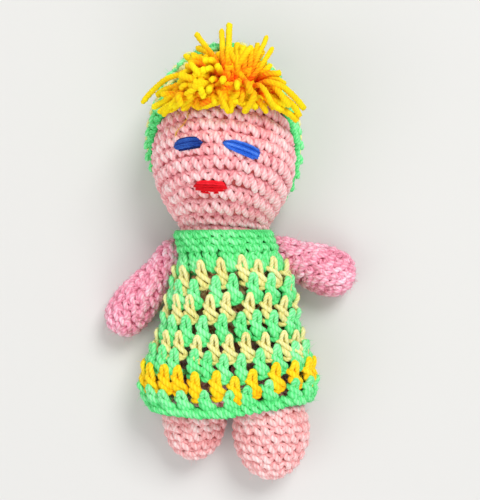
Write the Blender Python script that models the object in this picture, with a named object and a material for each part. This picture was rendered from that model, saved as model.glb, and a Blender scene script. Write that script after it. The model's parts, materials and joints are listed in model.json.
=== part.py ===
"""Crocheted doll in a striped dress and bonnet with yarn hair, lying on its back.

Metres. +X is the doll's left side, +Y runs from feet to head and +Z is up, out
of the face. The table is the plane z = 0. The world origin is on the table, under
the second green round of the dress, a little to the hem side of its middle.
"""

import math

import bpy

# clearances
CLEARANCE = 0.0003
FLAT_CUT = 0.0005

# dress, worked in rounds from the collar down
DRESS_WALL = 0.0030
COLLAR_HALF_WIDTH = 0.0273
HEM_HALF_WIDTH = 0.0488
DRESS_HALF_DEPTH = 0.0240
YOKE_LENGTH = 0.0165
ROUND_LENGTH = 0.0098
HEM_LENGTH = 0.0126
ROUND_PUFF = 0.0008
HEM_LIP = 0.0004
HEM_LIP_SHARES = (0.7, 0.9)
NECK_SIDE_WIDTH = 0.0030
ROUNDS = (
    ("cream_1", "yarn_cream"),
    ("green_1", "yarn_green"),
    ("cream_2", "yarn_cream"),
    ("green_2", "yarn_green"),
    ("cream_3", "yarn_cream"),
    ("green_3", "yarn_green"),
    ("gold", "yarn_gold"),
)
ROUNDS_ABOVE_ORIGIN = 3.58
SQUARENESS = 2.5
FLARE_SHARES = (
    (0.0, 0.0),
    (0.17, 0.04),
    (0.33, 0.33),
    (0.52, 0.52),
    (0.70, 0.85),
    (0.86, 1.0),
    (1.0, 0.91),
)
SIDE_SHARE = 0.33

# torso
FABRIC = 0.0030
TORSO_DROP = 0.0048
TORSO_LENGTH = 0.0540
TORSO_WAIST_SHARE = 0.78
TORSO_TAPER_SHARES = (0.2, 0.9)
TORSO_SHARES = (0.0, 0.2, 0.4, 0.6, 0.8, 1.0)
SEAM_RADIUS = 0.0008
SEAM_EASE = 0.0002

# head
NECK_PIVOT_RISE = 0.0050
NECK_EASE = 0.0025
NECK_RAISE = 0.0010
NECK_MOUTH = 0.0080
HEAD_HEIGHT = 0.0925
HEAD_HALF_WIDTH = 0.0378
HEAD_HALF_DEPTH = 0.0340
HEAD_WIDEST_SHARE = 0.375
JAW_SHARES = (0.0, 0.16, 0.4, 0.7)

# bonnet
BONNET_WALL = 0.0036
BONNET_ROUND = 0.0100
BONNET_TILT = math.radians(30.6)
BONNET_FRONT_Y_SHARE = 0.77
BONNET_FRONT_Z_SHARE = 0.82
BONNET_NAPE_SHARE = 0.09
BONNET_PARTS = (
    ("bonnet_rim", "yarn_green"),
    ("bonnet_round_cream_1", "yarn_cream"),
    ("bonnet_round_green", "yarn_green"),
    ("bonnet_round_cream_2", "yarn_cream"),
    ("bonnet_back", "yarn_green"),
)

# face
STITCH_HEIGHT = 0.0016
STITCH_EDGE_SHARE = 0.25
SATIN_TAPER_SHARE = 0.75
SATIN_TAPER_POWER = 3.0
SATIN_STATIONS = 10
SATIN_POINTS = 5
EYE_HALF_WIDTH = 0.0028
MOUTH_HALF_WIDTH = 0.0030
EYE_RIGHT_SHARES = (-0.651, 0.418, -0.278, 0.428)
EYE_LEFT_SHARES = (0.011, 0.423, 0.519, 0.339)
MOUTH_SHARES = (-0.397, 0.189, 0.061, 0.184)

# hair
STRAND_RADIUS = 0.0018
STRAND_LENGTH = 0.0250
HAIR_HALF_SPAN = 0.0215
HAIR_PAD_RADIUS = 0.0026
HAIR_ROW_STEP = 0.0021
HAIR_SAG = 0.0070
LOCK_PARTING = 0.0008
FAN_SHARE = 0.80
STRAND_TIP_SHARE = 0.7
STRAND_LENGTH_SHARES = (0.75, 1.2)
STRAND_LIFT = math.radians(28.0)
STRAND_LIFT_STEP = math.radians(26.0)
STRAND_LIFT_SCATTER = math.radians(6.0)
SCATTER_STEP = 50
PAD_POINTS = 12
PAD_STEPS = 3
HAIR_SIDES = 5
SEAM_SIDES = 5
HAIR_STATIONS = 3
HAIR_ROWS = 5
LOCKS = ("hair_far_right", "hair_right", "hair_middle", "hair_left", "hair_far_left")
LOCK_COLUMNS = 2

# arms
SHOULDER_DROP = 0.0130
SHOULDER_SEAT = 0.0006
ARMHOLE_EASE = 0.0028
ARM_EASE = 0.0005
ARM_MOUTH = 0.0045
ARMHOLE_BANDS = 3
ROOM_STEPS = 2
ARMS = {
    "arm_right": {
        "side": -1.0,
        "splay": math.radians(38.0),
        "tuck": math.radians(6.0),
        "length": 0.0555,
        "ball_radius": 0.0086,
        "half_width": 0.0124,
        "half_depth": 0.0124,
        "narrow_share": 0.16,
        "widest_share": 0.66,
        "end_power": 2.6,
    },
    "arm_left": {
        "side": 1.0,
        "splay": math.radians(72.0),
        "tuck": math.radians(24.0),
        "length": 0.0417,
        "ball_radius": 0.0094,
        "half_width": 0.0136,
        "half_depth": 0.0126,
        "narrow_share": 0.10,
        "widest_share": 0.62,
        "end_power": 2.4,
    },
}

# legs
HIP_DROP = 0.0060
HIP_GAP = 0.0030
LEG_BALL_RADIUS = 0.0125
LEG_MOUTH = 0.0050
LEGS = {
    "leg_right": {
        "side": -1.0,
        "length": 0.0614,
        "half_width": 0.0170,
        "half_depth": 0.0160,
        "spread_width": 0.0056,
        "widest_share": 0.63,
        "end_power": 2.0,
    },
    "leg_left": {
        "side": 1.0,
        "length": 0.0722,
        "half_width": 0.0206,
        "half_depth": 0.0172,
        "spread_width": 0.0090,
        "widest_share": 0.64,
        "end_power": 1.9,
    },
}
LEG_DROP_SHARES = (0.38, 0.80)
LEG_SPREAD_SHARE = 0.60

# points round each section
BODY_POINTS = 32
BODY_TURNED = 0.5
ROUND_STATIONS = 3
YOKE_STATIONS = 4
HEM_STATIONS = 4
HEAD_POINTS = 24
LIMB_POINTS = 14
CUTTER_POINTS = 20
BALL_STEPS = 4
LIMB_STEPS = 4
CROWN_STEPS = 6

DRESS_TOP = YOKE_LENGTH + ROUNDS_ABOVE_ORIGIN * ROUND_LENGTH
DRESS_LENGTH = YOKE_LENGTH + len(ROUNDS) * ROUND_LENGTH + HEM_LENGTH
DRESS_MID_Z = DRESS_HALF_DEPTH - FLAT_CUT
TORSO_TOP = DRESS_TOP - TORSO_DROP
TORSO_BOTTOM = TORSO_TOP - TORSO_LENGTH
NECK_PIVOT = (-NECK_SIDE_WIDTH, DRESS_TOP + NECK_PIVOT_RISE, DRESS_MID_Z + NECK_RAISE)
NECK_HALF_WIDTH = COLLAR_HALF_WIDTH - DRESS_WALL
NECK_RADIUS = DRESS_HALF_DEPTH - DRESS_WALL - NECK_EASE
BONNET_OFFSET = CLEARANCE + BONNET_WALL
HEAD_MID_Z = HEAD_HALF_DEPTH + BONNET_OFFSET - FLAT_CUT
HEAD_WIDEST_Y = NECK_PIVOT[1] + HEAD_WIDEST_SHARE * HEAD_HEIGHT
CROWN_HEIGHT = HEAD_HEIGHT - HEAD_WIDEST_SHARE * HEAD_HEIGHT

COLORS = {
    "yarn_green": (0.10, 0.52, 0.20, 1.0),
    "yarn_cream": (0.80, 0.78, 0.55, 1.0),
    "yarn_gold": (0.85, 0.45, 0.02, 1.0),
    "yarn_blush": (0.82, 0.45, 0.42, 1.0),
    "yarn_pink": (0.80, 0.22, 0.33, 1.0),
    "yarn_blue": (0.01, 0.06, 0.45, 1.0),
    "yarn_red": (0.65, 0.02, 0.02, 1.0),
    "fibre_fill": (0.85, 0.85, 0.83, 1.0),
}
YARN_ROUGHNESS = 0.9


def clear_scene():
    for item in list(bpy.data.objects):
        bpy.data.objects.remove(item, do_unlink=True)


def yarn(name):
    """The matte material of one yarn or of the fill."""
    found = bpy.data.materials.get(name)
    if found:
        return found
    made = bpy.data.materials.new(name)
    made.use_nodes = True
    shader = made.node_tree.nodes["Principled BSDF"]
    shader.inputs["Base Color"].default_value = COLORS[name]
    shader.inputs["Roughness"].default_value = YARN_ROUGHNESS
    shader.inputs["Metallic"].default_value = 0.0
    made.diffuse_color = COLORS[name]
    return made


def blend(table, share):
    """Smooth value of a table of (share, value) pairs, clamped at its ends."""
    if share <= table[0][0]:
        return table[0][1]
    if share >= table[-1][0]:
        return table[-1][1]
    last = len(table) - 1
    slopes = []
    for i in range(len(table)):
        before, after = table[max(i - 1, 0)], table[min(i + 1, last)]
        slopes.append((after[1] - before[1]) / (after[0] - before[0]))
    i = max(k for k in range(last) if table[k][0] <= share)
    (x0, y0), (x1, y1) = table[i], table[i + 1]
    run = x1 - x0
    t = (share - x0) / run
    ease = t * t * (3.0 - 2.0 * t)
    rise = slopes[i] * (t**3 - 2.0 * t * t + t) + slopes[i + 1] * (t**3 - t * t)
    return y0 + (y1 - y0) * ease + run * rise


def smooth_step(low, high, value):
    t = min(max((value - low) / (high - low), 0.0), 1.0)
    return t * t * (3.0 - 2.0 * t)


def oval(center, across, up, half_width, half_depth, power, count, turned=0.0):
    """Points of one closed section, a superellipse about its center.

    turned is the share of a point's step by which the points are shifted round.
    """
    ring = []
    for i in range(count):
        angle = 2.0 * math.pi * (i + turned) / count
        c, s = math.cos(angle), math.sin(angle)
        u = half_width * math.copysign(abs(c) ** (2.0 / power), c)
        v = half_depth * math.copysign(abs(s) ** (2.0 / power), s)
        ring.append(tuple(center[k] + across[k] * u + up[k] * v for k in range(3)))
    return ring


def on_table(rings):
    """The same rings with what lies under the table pressed flat on it."""
    return [[(x, y, max(z, 0.0)) for x, y, z in ring] for ring in rings]


def loft(name, rings, material, origin=(0.0, 0.0, 0.0), loop=False, smooth=True):
    """One closed skin over rings of points; a ring of one point is a pole."""
    verts, rows = [], []
    for ring in rings:
        rows.append(list(range(len(verts), len(verts) + len(ring))))
        verts.extend(tuple(p[k] - origin[k] for k in range(3)) for p in ring)
    faces = []
    pairs = list(zip(rows, rows[1:]))
    if loop:
        pairs.append((rows[-1], rows[0]))
    for a, b in pairs:
        count = max(len(a), len(b))
        for i in range(count):
            j = (i + 1) % count
            if len(a) == 1:
                faces.append((a[0], b[j], b[i]))
            elif len(b) == 1:
                faces.append((a[i], a[j], b[0]))
            else:
                faces.append((a[i], a[j], b[j], b[i]))
    if not loop:
        if len(rows[0]) > 1:
            faces.append(tuple(reversed(rows[0])))
        if len(rows[-1]) > 1:
            faces.append(tuple(rows[-1]))
    mesh = bpy.data.meshes.new(name)
    mesh.from_pydata(verts, [], faces)
    mesh.update()
    if signed_volume(mesh) < 0.0:
        mesh.flip_normals()
    for face in mesh.polygons:
        face.use_smooth = smooth
    made = bpy.data.objects.new(name, mesh)
    made.location = origin
    if material:
        made.data.materials.append(yarn(material))
    bpy.context.scene.collection.objects.link(made)
    return made


def signed_volume(mesh):
    total = 0.0
    for face in mesh.polygons:
        points = [mesh.vertices[i].co for i in face.vertices]
        for k in range(1, len(points) - 1):
            total += points[0].dot(points[k].cross(points[k + 1]))
    return total


def as_cutter(item):
    item.hide_render = True
    item.display_type = "WIRE"
    return item


def combine(item, cutter, operation, own_overlaps=False):
    step = item.modifiers.new(operation.lower() + "_" + cutter.name, "BOOLEAN")
    step.operation = operation
    step.solver = "EXACT"
    step.use_self = own_overlaps
    step.object = cutter


def attach(item, parent):
    item.parent = parent
    item.location = item.location - parent.location


def ball_cutter(name, center, half_sizes):
    """A closed ellipsoid that cuts a seat or a hole, its facets outside the curve."""
    steps = CUTTER_POINTS // 2
    round_out = 1.0 / math.cos(math.pi / CUTTER_POINTS) ** 2
    half_sizes = [size * round_out for size in half_sizes]
    rings = [[(center[0], center[1] + half_sizes[1], center[2])]]
    for i in range(1, steps):
        angle = math.pi * i / steps
        middle = (center[0], center[1] + half_sizes[1] * math.cos(angle), center[2])
        wide, deep = half_sizes[0] * math.sin(angle), half_sizes[2] * math.sin(angle)
        rings.append(
            oval(middle, (1, 0, 0), (0, 0, 1), wide, deep, 2.0, CUTTER_POINTS)
        )
    rings.append([(center[0], center[1] - half_sizes[1], center[2])])
    return as_cutter(loft(name, rings, None))


def slab_cutter(name, center, along, normal, far, near, half_length):
    """A box between two parallel planes, far and near along their normal."""
    rings = []
    for depth in (far, near):
        middle = tuple(center[k] + normal[k] * depth for k in range(3))
        ring = []
        for u, v in ((-1, -1), (1, -1), (1, 1), (-1, 1)):
            x = middle[0] + u * half_length
            y = middle[1] + along[1] * v * half_length
            z = middle[2] + along[2] * v * half_length
            ring.append((x, y, z))
        rings.append(ring)
    return as_cutter(loft(name, rings, None, smooth=False))


# dress and torso


def dress_section(y, inset):
    """Center x, half width and half depth of the dress, inset from its outside."""
    share = (DRESS_TOP - y) / DRESS_LENGTH
    flare = HEM_HALF_WIDTH - COLLAR_HALF_WIDTH
    half_width = COLLAR_HALF_WIDTH + flare * blend(FLARE_SHARES, share)
    center_x = -NECK_SIDE_WIDTH * (1.0 - smooth_step(0.0, SIDE_SHARE, share))
    return center_x, half_width - inset, DRESS_HALF_DEPTH - inset


def body_ring(center_x, y, half_width, half_depth):
    """A section of the dress or torso with a facet, not an edge, at the very back."""
    center, across, up = (center_x, y, DRESS_MID_Z), (1, 0, 0), (0, 0, 1)
    sizes = (half_width, half_depth, SQUARENESS, BODY_POINTS)
    return oval(center, across, up, *sizes, turned=BODY_TURNED)


def dress_ring(y, inset):
    center_x, half_width, half_depth = dress_section(y, inset)
    return body_ring(center_x, y, half_width, half_depth)


def dress_band(name, top, length, material, stations, lip=0.0):
    """One worked round of the dress, a closed band that swells between its edges."""
    high, low = top - CLEARANCE / 2.0, top - length + CLEARANCE / 2.0
    outside, inside = [], []
    for i in range(stations + 1):
        t = i / stations
        y = high + (low - high) * t
        puff = ROUND_PUFF * math.sin(math.pi * t) + lip * smooth_step(*HEM_LIP_SHARES, t)
        outside.append(dress_ring(y, ROUND_PUFF - puff))
    inner = stations // 2
    for i in range(inner + 1):
        y = low + (high - low) * i / inner
        inside.append(dress_ring(y, DRESS_WALL))
    return loft(name, on_table(outside + inside), material, loop=True)


def build_dress():
    """Collar and yoke, seven striped rounds and the hem."""
    yoke = dress_band("dress_yoke", DRESS_TOP, YOKE_LENGTH, "yarn_green", YOKE_STATIONS)
    bands = [yoke]
    top = DRESS_TOP - YOKE_LENGTH
    for name, material in ROUNDS:
        label = "dress_" + name
        bands.append(dress_band(label, top, ROUND_LENGTH, material, ROUND_STATIONS))
        top -= ROUND_LENGTH
    hem = dress_band("dress_hem", top, HEM_LENGTH, "yarn_green", HEM_STATIONS, HEM_LIP)
    bands.append(hem)
    return bands


def torso_ring(share, inset):
    """A section of the torso, inset from its outside, at a share of its length."""
    y = TORSO_TOP - share * TORSO_LENGTH
    taper = smooth_step(*TORSO_TAPER_SHARES, share)
    width_share = 1.0 - (1.0 - TORSO_WAIST_SHARE) * taper
    center_x, half_width, half_depth = dress_section(y, DRESS_WALL + CLEARANCE)
    wide, deep = half_width * width_share - inset, half_depth * width_share - inset
    return body_ring(center_x, y, wide, deep)


def moved(ring, dy):
    return [(x, y + dy, z) for x, y, z in ring]


def build_torso():
    """The body cover, open at the neck, its fill and the seam at its rim."""
    outside = [torso_ring(s, 0.0) for s in TORSO_SHARES]
    inside = [torso_ring(s, FABRIC) for s in TORSO_SHARES]
    inside[-1] = moved(inside[-1], FABRIC)
    cover = loft("torso", outside[::-1] + inside, "yarn_pink")
    skin = FABRIC + CLEARANCE
    rings = [torso_ring(s, skin) for s in TORSO_SHARES]
    rings[-1] = moved(rings[-1], skin)
    fill = loft("torso_stuffing", rings, "fibre_fill")

    grown = (NECK_HALF_WIDTH + CLEARANCE, NECK_RADIUS + CLEARANCE, NECK_RADIUS + CLEARANCE)
    dish = ball_cutter("cut_neck_dish", NECK_PIVOT, grown)
    combine(cover, dish, "DIFFERENCE")
    combine(fill, dish, "DIFFERENCE")

    y = TORSO_TOP + CLEARANCE + SEAM_RADIUS
    down = (NECK_PIVOT[1] - y) / NECK_RADIUS
    taper = math.sqrt(1.0 - down * down)
    off = CLEARANCE + SEAM_RADIUS + SEAM_EASE
    rings = []
    for i in range(HEAD_POINTS):
        angle = 2.0 * math.pi * i / HEAD_POINTS
        c, s = math.cos(angle), math.sin(angle)
        wide, deep = NECK_HALF_WIDTH * taper + off, NECK_RADIUS * taper + off
        center = (NECK_PIVOT[0] + wide * c, y, NECK_PIVOT[2] + deep * s)
        out, r = (c, 0.0, s), SEAM_RADIUS
        rings.append(oval(center, out, (0, 1, 0), r, r, 2.0, SEAM_SIDES))
    seam = loft("neck_seam", rings, "yarn_green", loop=True)
    return cover, fill, seam


# head, bonnet and face


def head_section(y, offset):
    """Half width, half depth and middle height of the head, grown by an offset."""
    pivot_y, pivot_z = NECK_PIVOT[1], NECK_PIVOT[2]
    if y < pivot_y:
        down = (pivot_y - y) / (NECK_RADIUS + offset)
        taper = math.sqrt(max(0.0, 1.0 - down * down))
        wide, deep = NECK_HALF_WIDTH + offset, NECK_RADIUS + offset
        return wide * taper, deep * taper, pivot_z
    if y < HEAD_WIDEST_Y:
        t = (y - pivot_y) / (HEAD_WIDEST_Y - pivot_y)
        full = 1.0 - (1.0 - t) ** 2
        wide = NECK_HALF_WIDTH + (HEAD_HALF_WIDTH - NECK_HALF_WIDTH) * full
        deep = NECK_RADIUS + (HEAD_HALF_DEPTH - NECK_RADIUS) * full
        return wide + offset, deep + offset, pivot_z + (HEAD_MID_Z - pivot_z) * full
    up = (y - HEAD_WIDEST_Y) / (CROWN_HEIGHT + offset)
    taper = math.sqrt(max(0.0, 1.0 - up * up))
    wide, deep = HEAD_HALF_WIDTH + offset, HEAD_HALF_DEPTH + offset
    return wide * taper, deep * taper, HEAD_MID_Z


def head_ring(y, offset):
    wide, deep, middle = head_section(y, offset)
    center = (NECK_PIVOT[0], y, middle)
    return oval(center, (1, 0, 0), (0, 0, 1), wide, deep, 2.0, HEAD_POINTS)


def head_rings(offset, mouth=0.0):
    """Rings from the neck end to the crown; with a mouth the neck end is open."""
    ball = NECK_RADIUS + offset
    rings = []
    lowest = 0.0
    if mouth:
        lowest = math.asin(mouth / (NECK_HALF_WIDTH + offset))
    else:
        rings.append([(NECK_PIVOT[0], NECK_PIVOT[1] - ball, NECK_PIVOT[2])])
    start = 0 if mouth else 1
    for i in range(start, BALL_STEPS):
        angle = lowest + (math.pi / 2.0 - lowest) * i / BALL_STEPS
        rings.append(head_ring(NECK_PIVOT[1] - ball * math.cos(angle), offset))
    jaw = HEAD_WIDEST_Y - NECK_PIVOT[1]
    for share in JAW_SHARES:
        rings.append(head_ring(NECK_PIVOT[1] + jaw * share, offset))
    crown = CROWN_HEIGHT + offset
    for i in range(CROWN_STEPS):
        angle = math.pi / 2.0 * i / CROWN_STEPS
        rings.append(head_ring(HEAD_WIDEST_Y + crown * math.sin(angle), offset))
    rings.append([(NECK_PIVOT[0], HEAD_WIDEST_Y + crown, HEAD_MID_Z)])
    return rings


def build_head():
    outside = head_rings(0.0, NECK_MOUTH)
    inside = head_rings(-FABRIC, NECK_MOUTH)
    rings = outside[::-1] + inside
    head = loft("head", rings, "yarn_blush", NECK_PIVOT)
    rings = head_rings(-FABRIC - CLEARANCE)
    fill = loft("head_stuffing", rings, "fibre_fill", NECK_PIVOT)
    attach(fill, head)
    return head, fill


def bonnet_plane():
    """A point on the rim's plane, its up direction and its forward normal."""
    point = (
        NECK_PIVOT[0],
        NECK_PIVOT[1] + BONNET_FRONT_Y_SHARE * HEAD_HEIGHT,
        HEAD_MID_Z + BONNET_FRONT_Z_SHARE * HEAD_HALF_DEPTH,
    )
    along = (0.0, math.cos(BONNET_TILT), math.sin(BONNET_TILT))
    normal = (0.0, -math.sin(BONNET_TILT), math.cos(BONNET_TILT))
    return point, along, normal


def build_bonnet(head):
    """Rounds of the bonnet, sliced parallel to the rim that frames the face."""
    point, along, normal = bonnet_plane()
    reach = HEAD_HEIGHT
    hollow = as_cutter(loft("cut_bonnet_hollow", head_rings(CLEARANCE), None))
    nape_y = NECK_PIVOT[1] + BONNET_NAPE_SHARE * HEAD_HEIGHT
    center = (NECK_PIVOT[0], nape_y, HEAD_MID_Z)
    nape = slab_cutter("cut_nape", center, (0, 0, 1), (0, 1, 0), -reach, 0.0, reach)
    parts = []
    for i, (name, material) in enumerate(BONNET_PARTS):
        part = loft(name, on_table(head_rings(BONNET_OFFSET)), material, NECK_PIVOT)
        near = -i * BONNET_ROUND - CLEARANCE / 2.0
        far = -(i + 1) * BONNET_ROUND + CLEARANCE / 2.0
        if i + 1 == len(BONNET_PARTS):
            far = -reach
        label = "cut_" + name
        slab = slab_cutter(label, point, along, normal, far, near, reach)
        combine(part, slab, "INTERSECT")
        combine(part, nape, "DIFFERENCE")
        combine(part, hollow, "DIFFERENCE")
        attach(part, head)
        parts.append(part)
    return parts


def face_height(x, y):
    """Height of the head's front at a place on the face."""
    wide, deep, middle = head_section(y, 0.0)
    across = (x - NECK_PIVOT[0]) / wide
    return middle + deep * math.sqrt(max(0.0, 1.0 - across * across))


def build_satin(name, shares, half_width, material, head):
    """A pad of satin stitches laid on the face between two ends."""
    ends = []
    for k in (0, 2):
        x = NECK_PIVOT[0] + shares[k] * HEAD_HALF_WIDTH
        y = NECK_PIVOT[1] + shares[k + 1] * HEAD_HEIGHT
        ends.append((x, y))
    (x0, y0), (x1, y1) = ends
    length = math.hypot(x1 - x0, y1 - y0)
    run = ((x1 - x0) / length, (y1 - y0) / length)
    side = (-run[1], run[0])
    rings = []
    last = SATIN_POINTS - 1
    for i in range(SATIN_STATIONS + 1):
        t = -1.0 + 2.0 * i / SATIN_STATIONS
        full = math.sqrt(1.0 - SATIN_TAPER_SHARE * abs(t) ** SATIN_TAPER_POWER)
        x = (x0 + x1) / 2.0 + run[0] * t * length / 2.0
        y = (y0 + y1) / 2.0 + run[1] * t * length / 2.0
        ring = []
        for k in range(SATIN_POINTS):
            v = math.cos(math.pi * k / last) * half_width * full
            px, py = x + side[0] * v, y + side[1] * v
            rise = max(math.sin(math.pi * k / last), STITCH_EDGE_SHARE)
            height = STITCH_HEIGHT * full * rise
            ring.append((px, py, face_height(px, py) + CLEARANCE + height))
        for k in (last, last // 2, 0):
            v = math.cos(math.pi * k / last) * half_width * full
            px, py = x + side[0] * v, y + side[1] * v
            ring.append((px, py, face_height(px, py) + CLEARANCE))
        rings.append(ring)
    pad = loft(name, rings, material, NECK_PIVOT)
    attach(pad, head)
    return pad


# hair


def hair_root(x, back):
    """A place on the bonnet's outside, back from its rim, and the way out there."""
    point, along, normal = bonnet_plane()
    wide, deep = HEAD_HALF_WIDTH + BONNET_OFFSET, HEAD_HALF_DEPTH + BONNET_OFFSET
    tall = CROWN_HEIGHT + BONNET_OFFSET
    narrow = math.sqrt(1.0 - ((x - NECK_PIVOT[0]) / wide) ** 2)
    dy, dz = point[1] - HEAD_WIDEST_Y, point[2] - HEAD_MID_Z
    level = normal[1] * dy + normal[2] * dz - back
    a, b = normal[1] * tall * narrow, normal[2] * deep * narrow
    size = math.hypot(a, b)
    turn = math.atan2(a, b)
    angle = math.asin(max(-1.0, min(1.0, level / size))) - turn
    y, z = tall * narrow * math.cos(angle), deep * narrow * math.sin(angle)
    place = (x, HEAD_WIDEST_Y + y, HEAD_MID_Z + z)
    out = ((x - NECK_PIVOT[0]) / wide**2, y / tall**2, z / deep**2)
    size = math.sqrt(sum(k * k for k in out))
    return place, tuple(k / size for k in out)


def varied(number, low, high):
    """A repeatable scattered value between two bounds."""
    share = math.sin(number * 12.9898 + 4.1414) * 43758.5453
    return low + (high - low) * (share - math.floor(share))


def fanned(way, u):
    """A unit direction turned outward by the fringe's fan."""
    way = (way[0] + FAN_SHARE * u, way[1], way[2])
    size = math.sqrt(sum(k * k for k in way))
    return tuple(k / size for k in way)


def hair_strand(u, row, number):
    """Rings of one strand: rooted in its row, fanned by u, drooping at its end."""
    back = HAIR_ROW_STEP * (row + 0.5)
    place, out = hair_root(NECK_PIVOT[0] + u * HAIR_HALF_SPAN, back)
    scatter = varied(number, -STRAND_LIFT_SCATTER, STRAND_LIFT_SCATTER)
    lift = STRAND_LIFT + STRAND_LIFT_STEP * row + scatter
    down = (0.0, -out[2], out[1])
    way = [out[k] * math.sin(lift) + down[k] * math.cos(lift) for k in range(3)]
    way = fanned(way, u)
    length = STRAND_LENGTH * varied(number + SCATTER_STEP, *STRAND_LENGTH_SHARES)
    side = (way[1], -way[0], 0.0)
    size = math.hypot(side[0], side[1]) or 1.0
    side = tuple(k / size for k in side)
    up = (
        side[1] * way[2] - side[2] * way[1],
        side[2] * way[0] - side[0] * way[2],
        side[0] * way[1] - side[1] * way[0],
    )
    rings = []
    for i in range(HAIR_STATIONS + 1):
        t = i / HAIR_STATIONS
        center = [place[k] + way[k] * length * t for k in range(3)]
        center[2] -= HAIR_SAG * t * t
        r = STRAND_RADIUS * (1.0 if i < HAIR_STATIONS else STRAND_TIP_SHARE)
        rings.append(oval(center, side, up, r, r, 2.0, HAIR_SIDES))
    return rings


def merged(name, groups):
    """One guide object that holds several closed skins."""
    verts, faces = [], []
    for item in groups:
        base = len(verts)
        verts.extend(tuple(v.co) for v in item.data.vertices)
        faces.extend(tuple(base + i for i in f.vertices) for f in item.data.polygons)
        bpy.data.objects.remove(item, do_unlink=True)
    mesh = bpy.data.meshes.new(name)
    mesh.from_pydata(verts, [], faces)
    mesh.update()
    made = bpy.data.objects.new(name, mesh)
    bpy.context.scene.collection.objects.link(made)
    return as_cutter(made)


def build_hair(head):
    """Locks of the fringe: knotted pads along the rim with their strands."""
    form = head_rings(BONNET_OFFSET + CLEARANCE)
    form = as_cutter(loft("cut_hair_seat", form, None))
    columns = len(LOCKS) * LOCK_COLUMNS
    pitch = 2.0 / columns
    locks = []
    for n, name in enumerate(LOCKS):
        first = -1.0 + pitch * LOCK_COLUMNS * n
        rings = []
        trim = LOCK_PARTING / HAIR_HALF_SPAN
        for i in range(PAD_STEPS + 1):
            span = pitch * LOCK_COLUMNS - 2.0 * trim
            u = first + trim + span * i / PAD_STEPS
            middle = HAIR_ROW_STEP * HAIR_ROWS / 2.0
            place, out = hair_root(NECK_PIVOT[0] + u * HAIR_HALF_SPAN, middle)
            away = fanned(out, u)
            size = math.hypot(out[1], out[2])
            along = (0.0, out[2] / size, -out[1] / size)
            broad, thick = middle + STRAND_RADIUS, HAIR_PAD_RADIUS
            rings.append(oval(place, along, away, broad, thick, 2.0, PAD_POINTS))
        lock = loft(name, rings, "yarn_gold", NECK_PIVOT)
        strands = []
        for c in range(LOCK_COLUMNS):
            u = first + pitch * (c + 0.5)
            for row in range(HAIR_ROWS):
                number = (n * LOCK_COLUMNS + c) * HAIR_ROWS + row
                strands.append(loft("strand", hair_strand(u, row, number), None))
        bundle = merged("form_" + name, strands)
        combine(lock, bundle, "UNION", own_overlaps=True)
        combine(lock, form, "DIFFERENCE")
        attach(lock, head)
        locks.append(lock)
    return locks


# limbs


def limb_rings(limb, pivot, along, across, offset, mouth):
    """Rings of a limb from its ball to its end, grown by an offset."""
    ball, length = limb["ball_radius"] + offset, limb["length"] + offset
    power, widest = limb["end_power"], limb["widest_share"] * limb["length"]
    rings = []
    lowest = math.asin(mouth / ball) if mouth else 0.0
    if not mouth:
        rings.append([tuple(pivot[k] - along[k] * ball for k in range(3))])
    stations = []
    for i in range(0 if mouth else 1, BALL_STEPS):
        angle = lowest + (math.pi / 2.0 - lowest) * i / BALL_STEPS
        r = ball * math.sin(angle)
        stations.append((-ball * math.cos(angle), r, r))
    for i in range(LIMB_STEPS):
        s = widest * i / LIMB_STEPS
        full = smooth_step(limb["narrow_share"], limb["widest_share"], s / limb["length"])
        wide = limb["ball_radius"] + (limb["half_width"] - limb["ball_radius"]) * full
        deep = limb["ball_radius"] + (limb["half_depth"] - limb["ball_radius"]) * full
        stations.append((s, wide + offset, deep + offset))
    for i in range(LIMB_STEPS + 1):
        t = math.sin(math.pi / 2.0 * i / (LIMB_STEPS + 1))
        taper = (1.0 - t**power) ** (1.0 / power)
        wide, deep = limb["half_width"] + offset, limb["half_depth"] + offset
        stations.append((widest + (length - widest) * t, wide * taper, deep * taper))
    for s, wide, deep in stations:
        center = limb_center(limb, pivot, along, across, s)
        rings.append(oval(center, across, (0, 0, 1), wide, deep, 2.0, LIMB_POINTS))
    rings.append([limb_center(limb, pivot, along, across, length)])
    return rings


def limb_center(limb, pivot, along, across, s):
    """Middle of a limb at a distance along it, with its spread and its drop."""
    share = max(s, 0.0) / limb["length"]
    spread = limb.get("spread_width", 0.0) * smooth_step(0.0, LEG_SPREAD_SHARE, share)
    drop = limb.get("drop_depth", 0.0) * smooth_step(*LEG_DROP_SHARES, share)
    x = pivot[0] + along[0] * s + across[0] * spread
    y = pivot[1] + along[1] * s + across[1] * spread
    return (x, y, pivot[2] - drop)


def build_limb(name, limb, material, pivot, along, across, mouth):
    """A limb's cover, open at its ball, and the fill inside it."""
    outside = on_table(limb_rings(limb, pivot, along, across, 0.0, mouth))
    inside = limb_rings(limb, pivot, along, across, -FABRIC, mouth)
    cover = loft(name, outside[::-1] + inside, material, pivot)
    rings = limb_rings(limb, pivot, along, across, -FABRIC - CLEARANCE, 0.0)
    fill = loft(name + "_stuffing", rings, "fibre_fill", pivot)
    attach(fill, cover)
    return cover, fill


def torso_edge(y, z):
    """Half width of the torso's outside at a height, and its center x."""
    center_x, half_width, half_depth = dress_section(y, DRESS_WALL + CLEARANCE)
    low = abs(z - DRESS_MID_Z) / half_depth
    return center_x, half_width * (1.0 - low**SQUARENESS) ** (1.0 / SQUARENESS)


def arm_room(name, arm, pivot):
    """Room in the dress for an arm from where it lies to where it is tucked in."""
    cutters = []
    for i in range(ROOM_STEPS + 1):
        splay = arm["splay"] - arm["tuck"] * i / ROOM_STEPS
        along = (arm["side"] * math.sin(splay), -math.cos(splay), 0.0)
        across = (along[1], -along[0], 0.0)
        rings = limb_rings(arm, pivot, along, across, ARM_EASE, 0.0)
        cutters.append(as_cutter(loft(f"cut_room_{name}_{i}", rings, None)))
    return cutters


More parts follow.
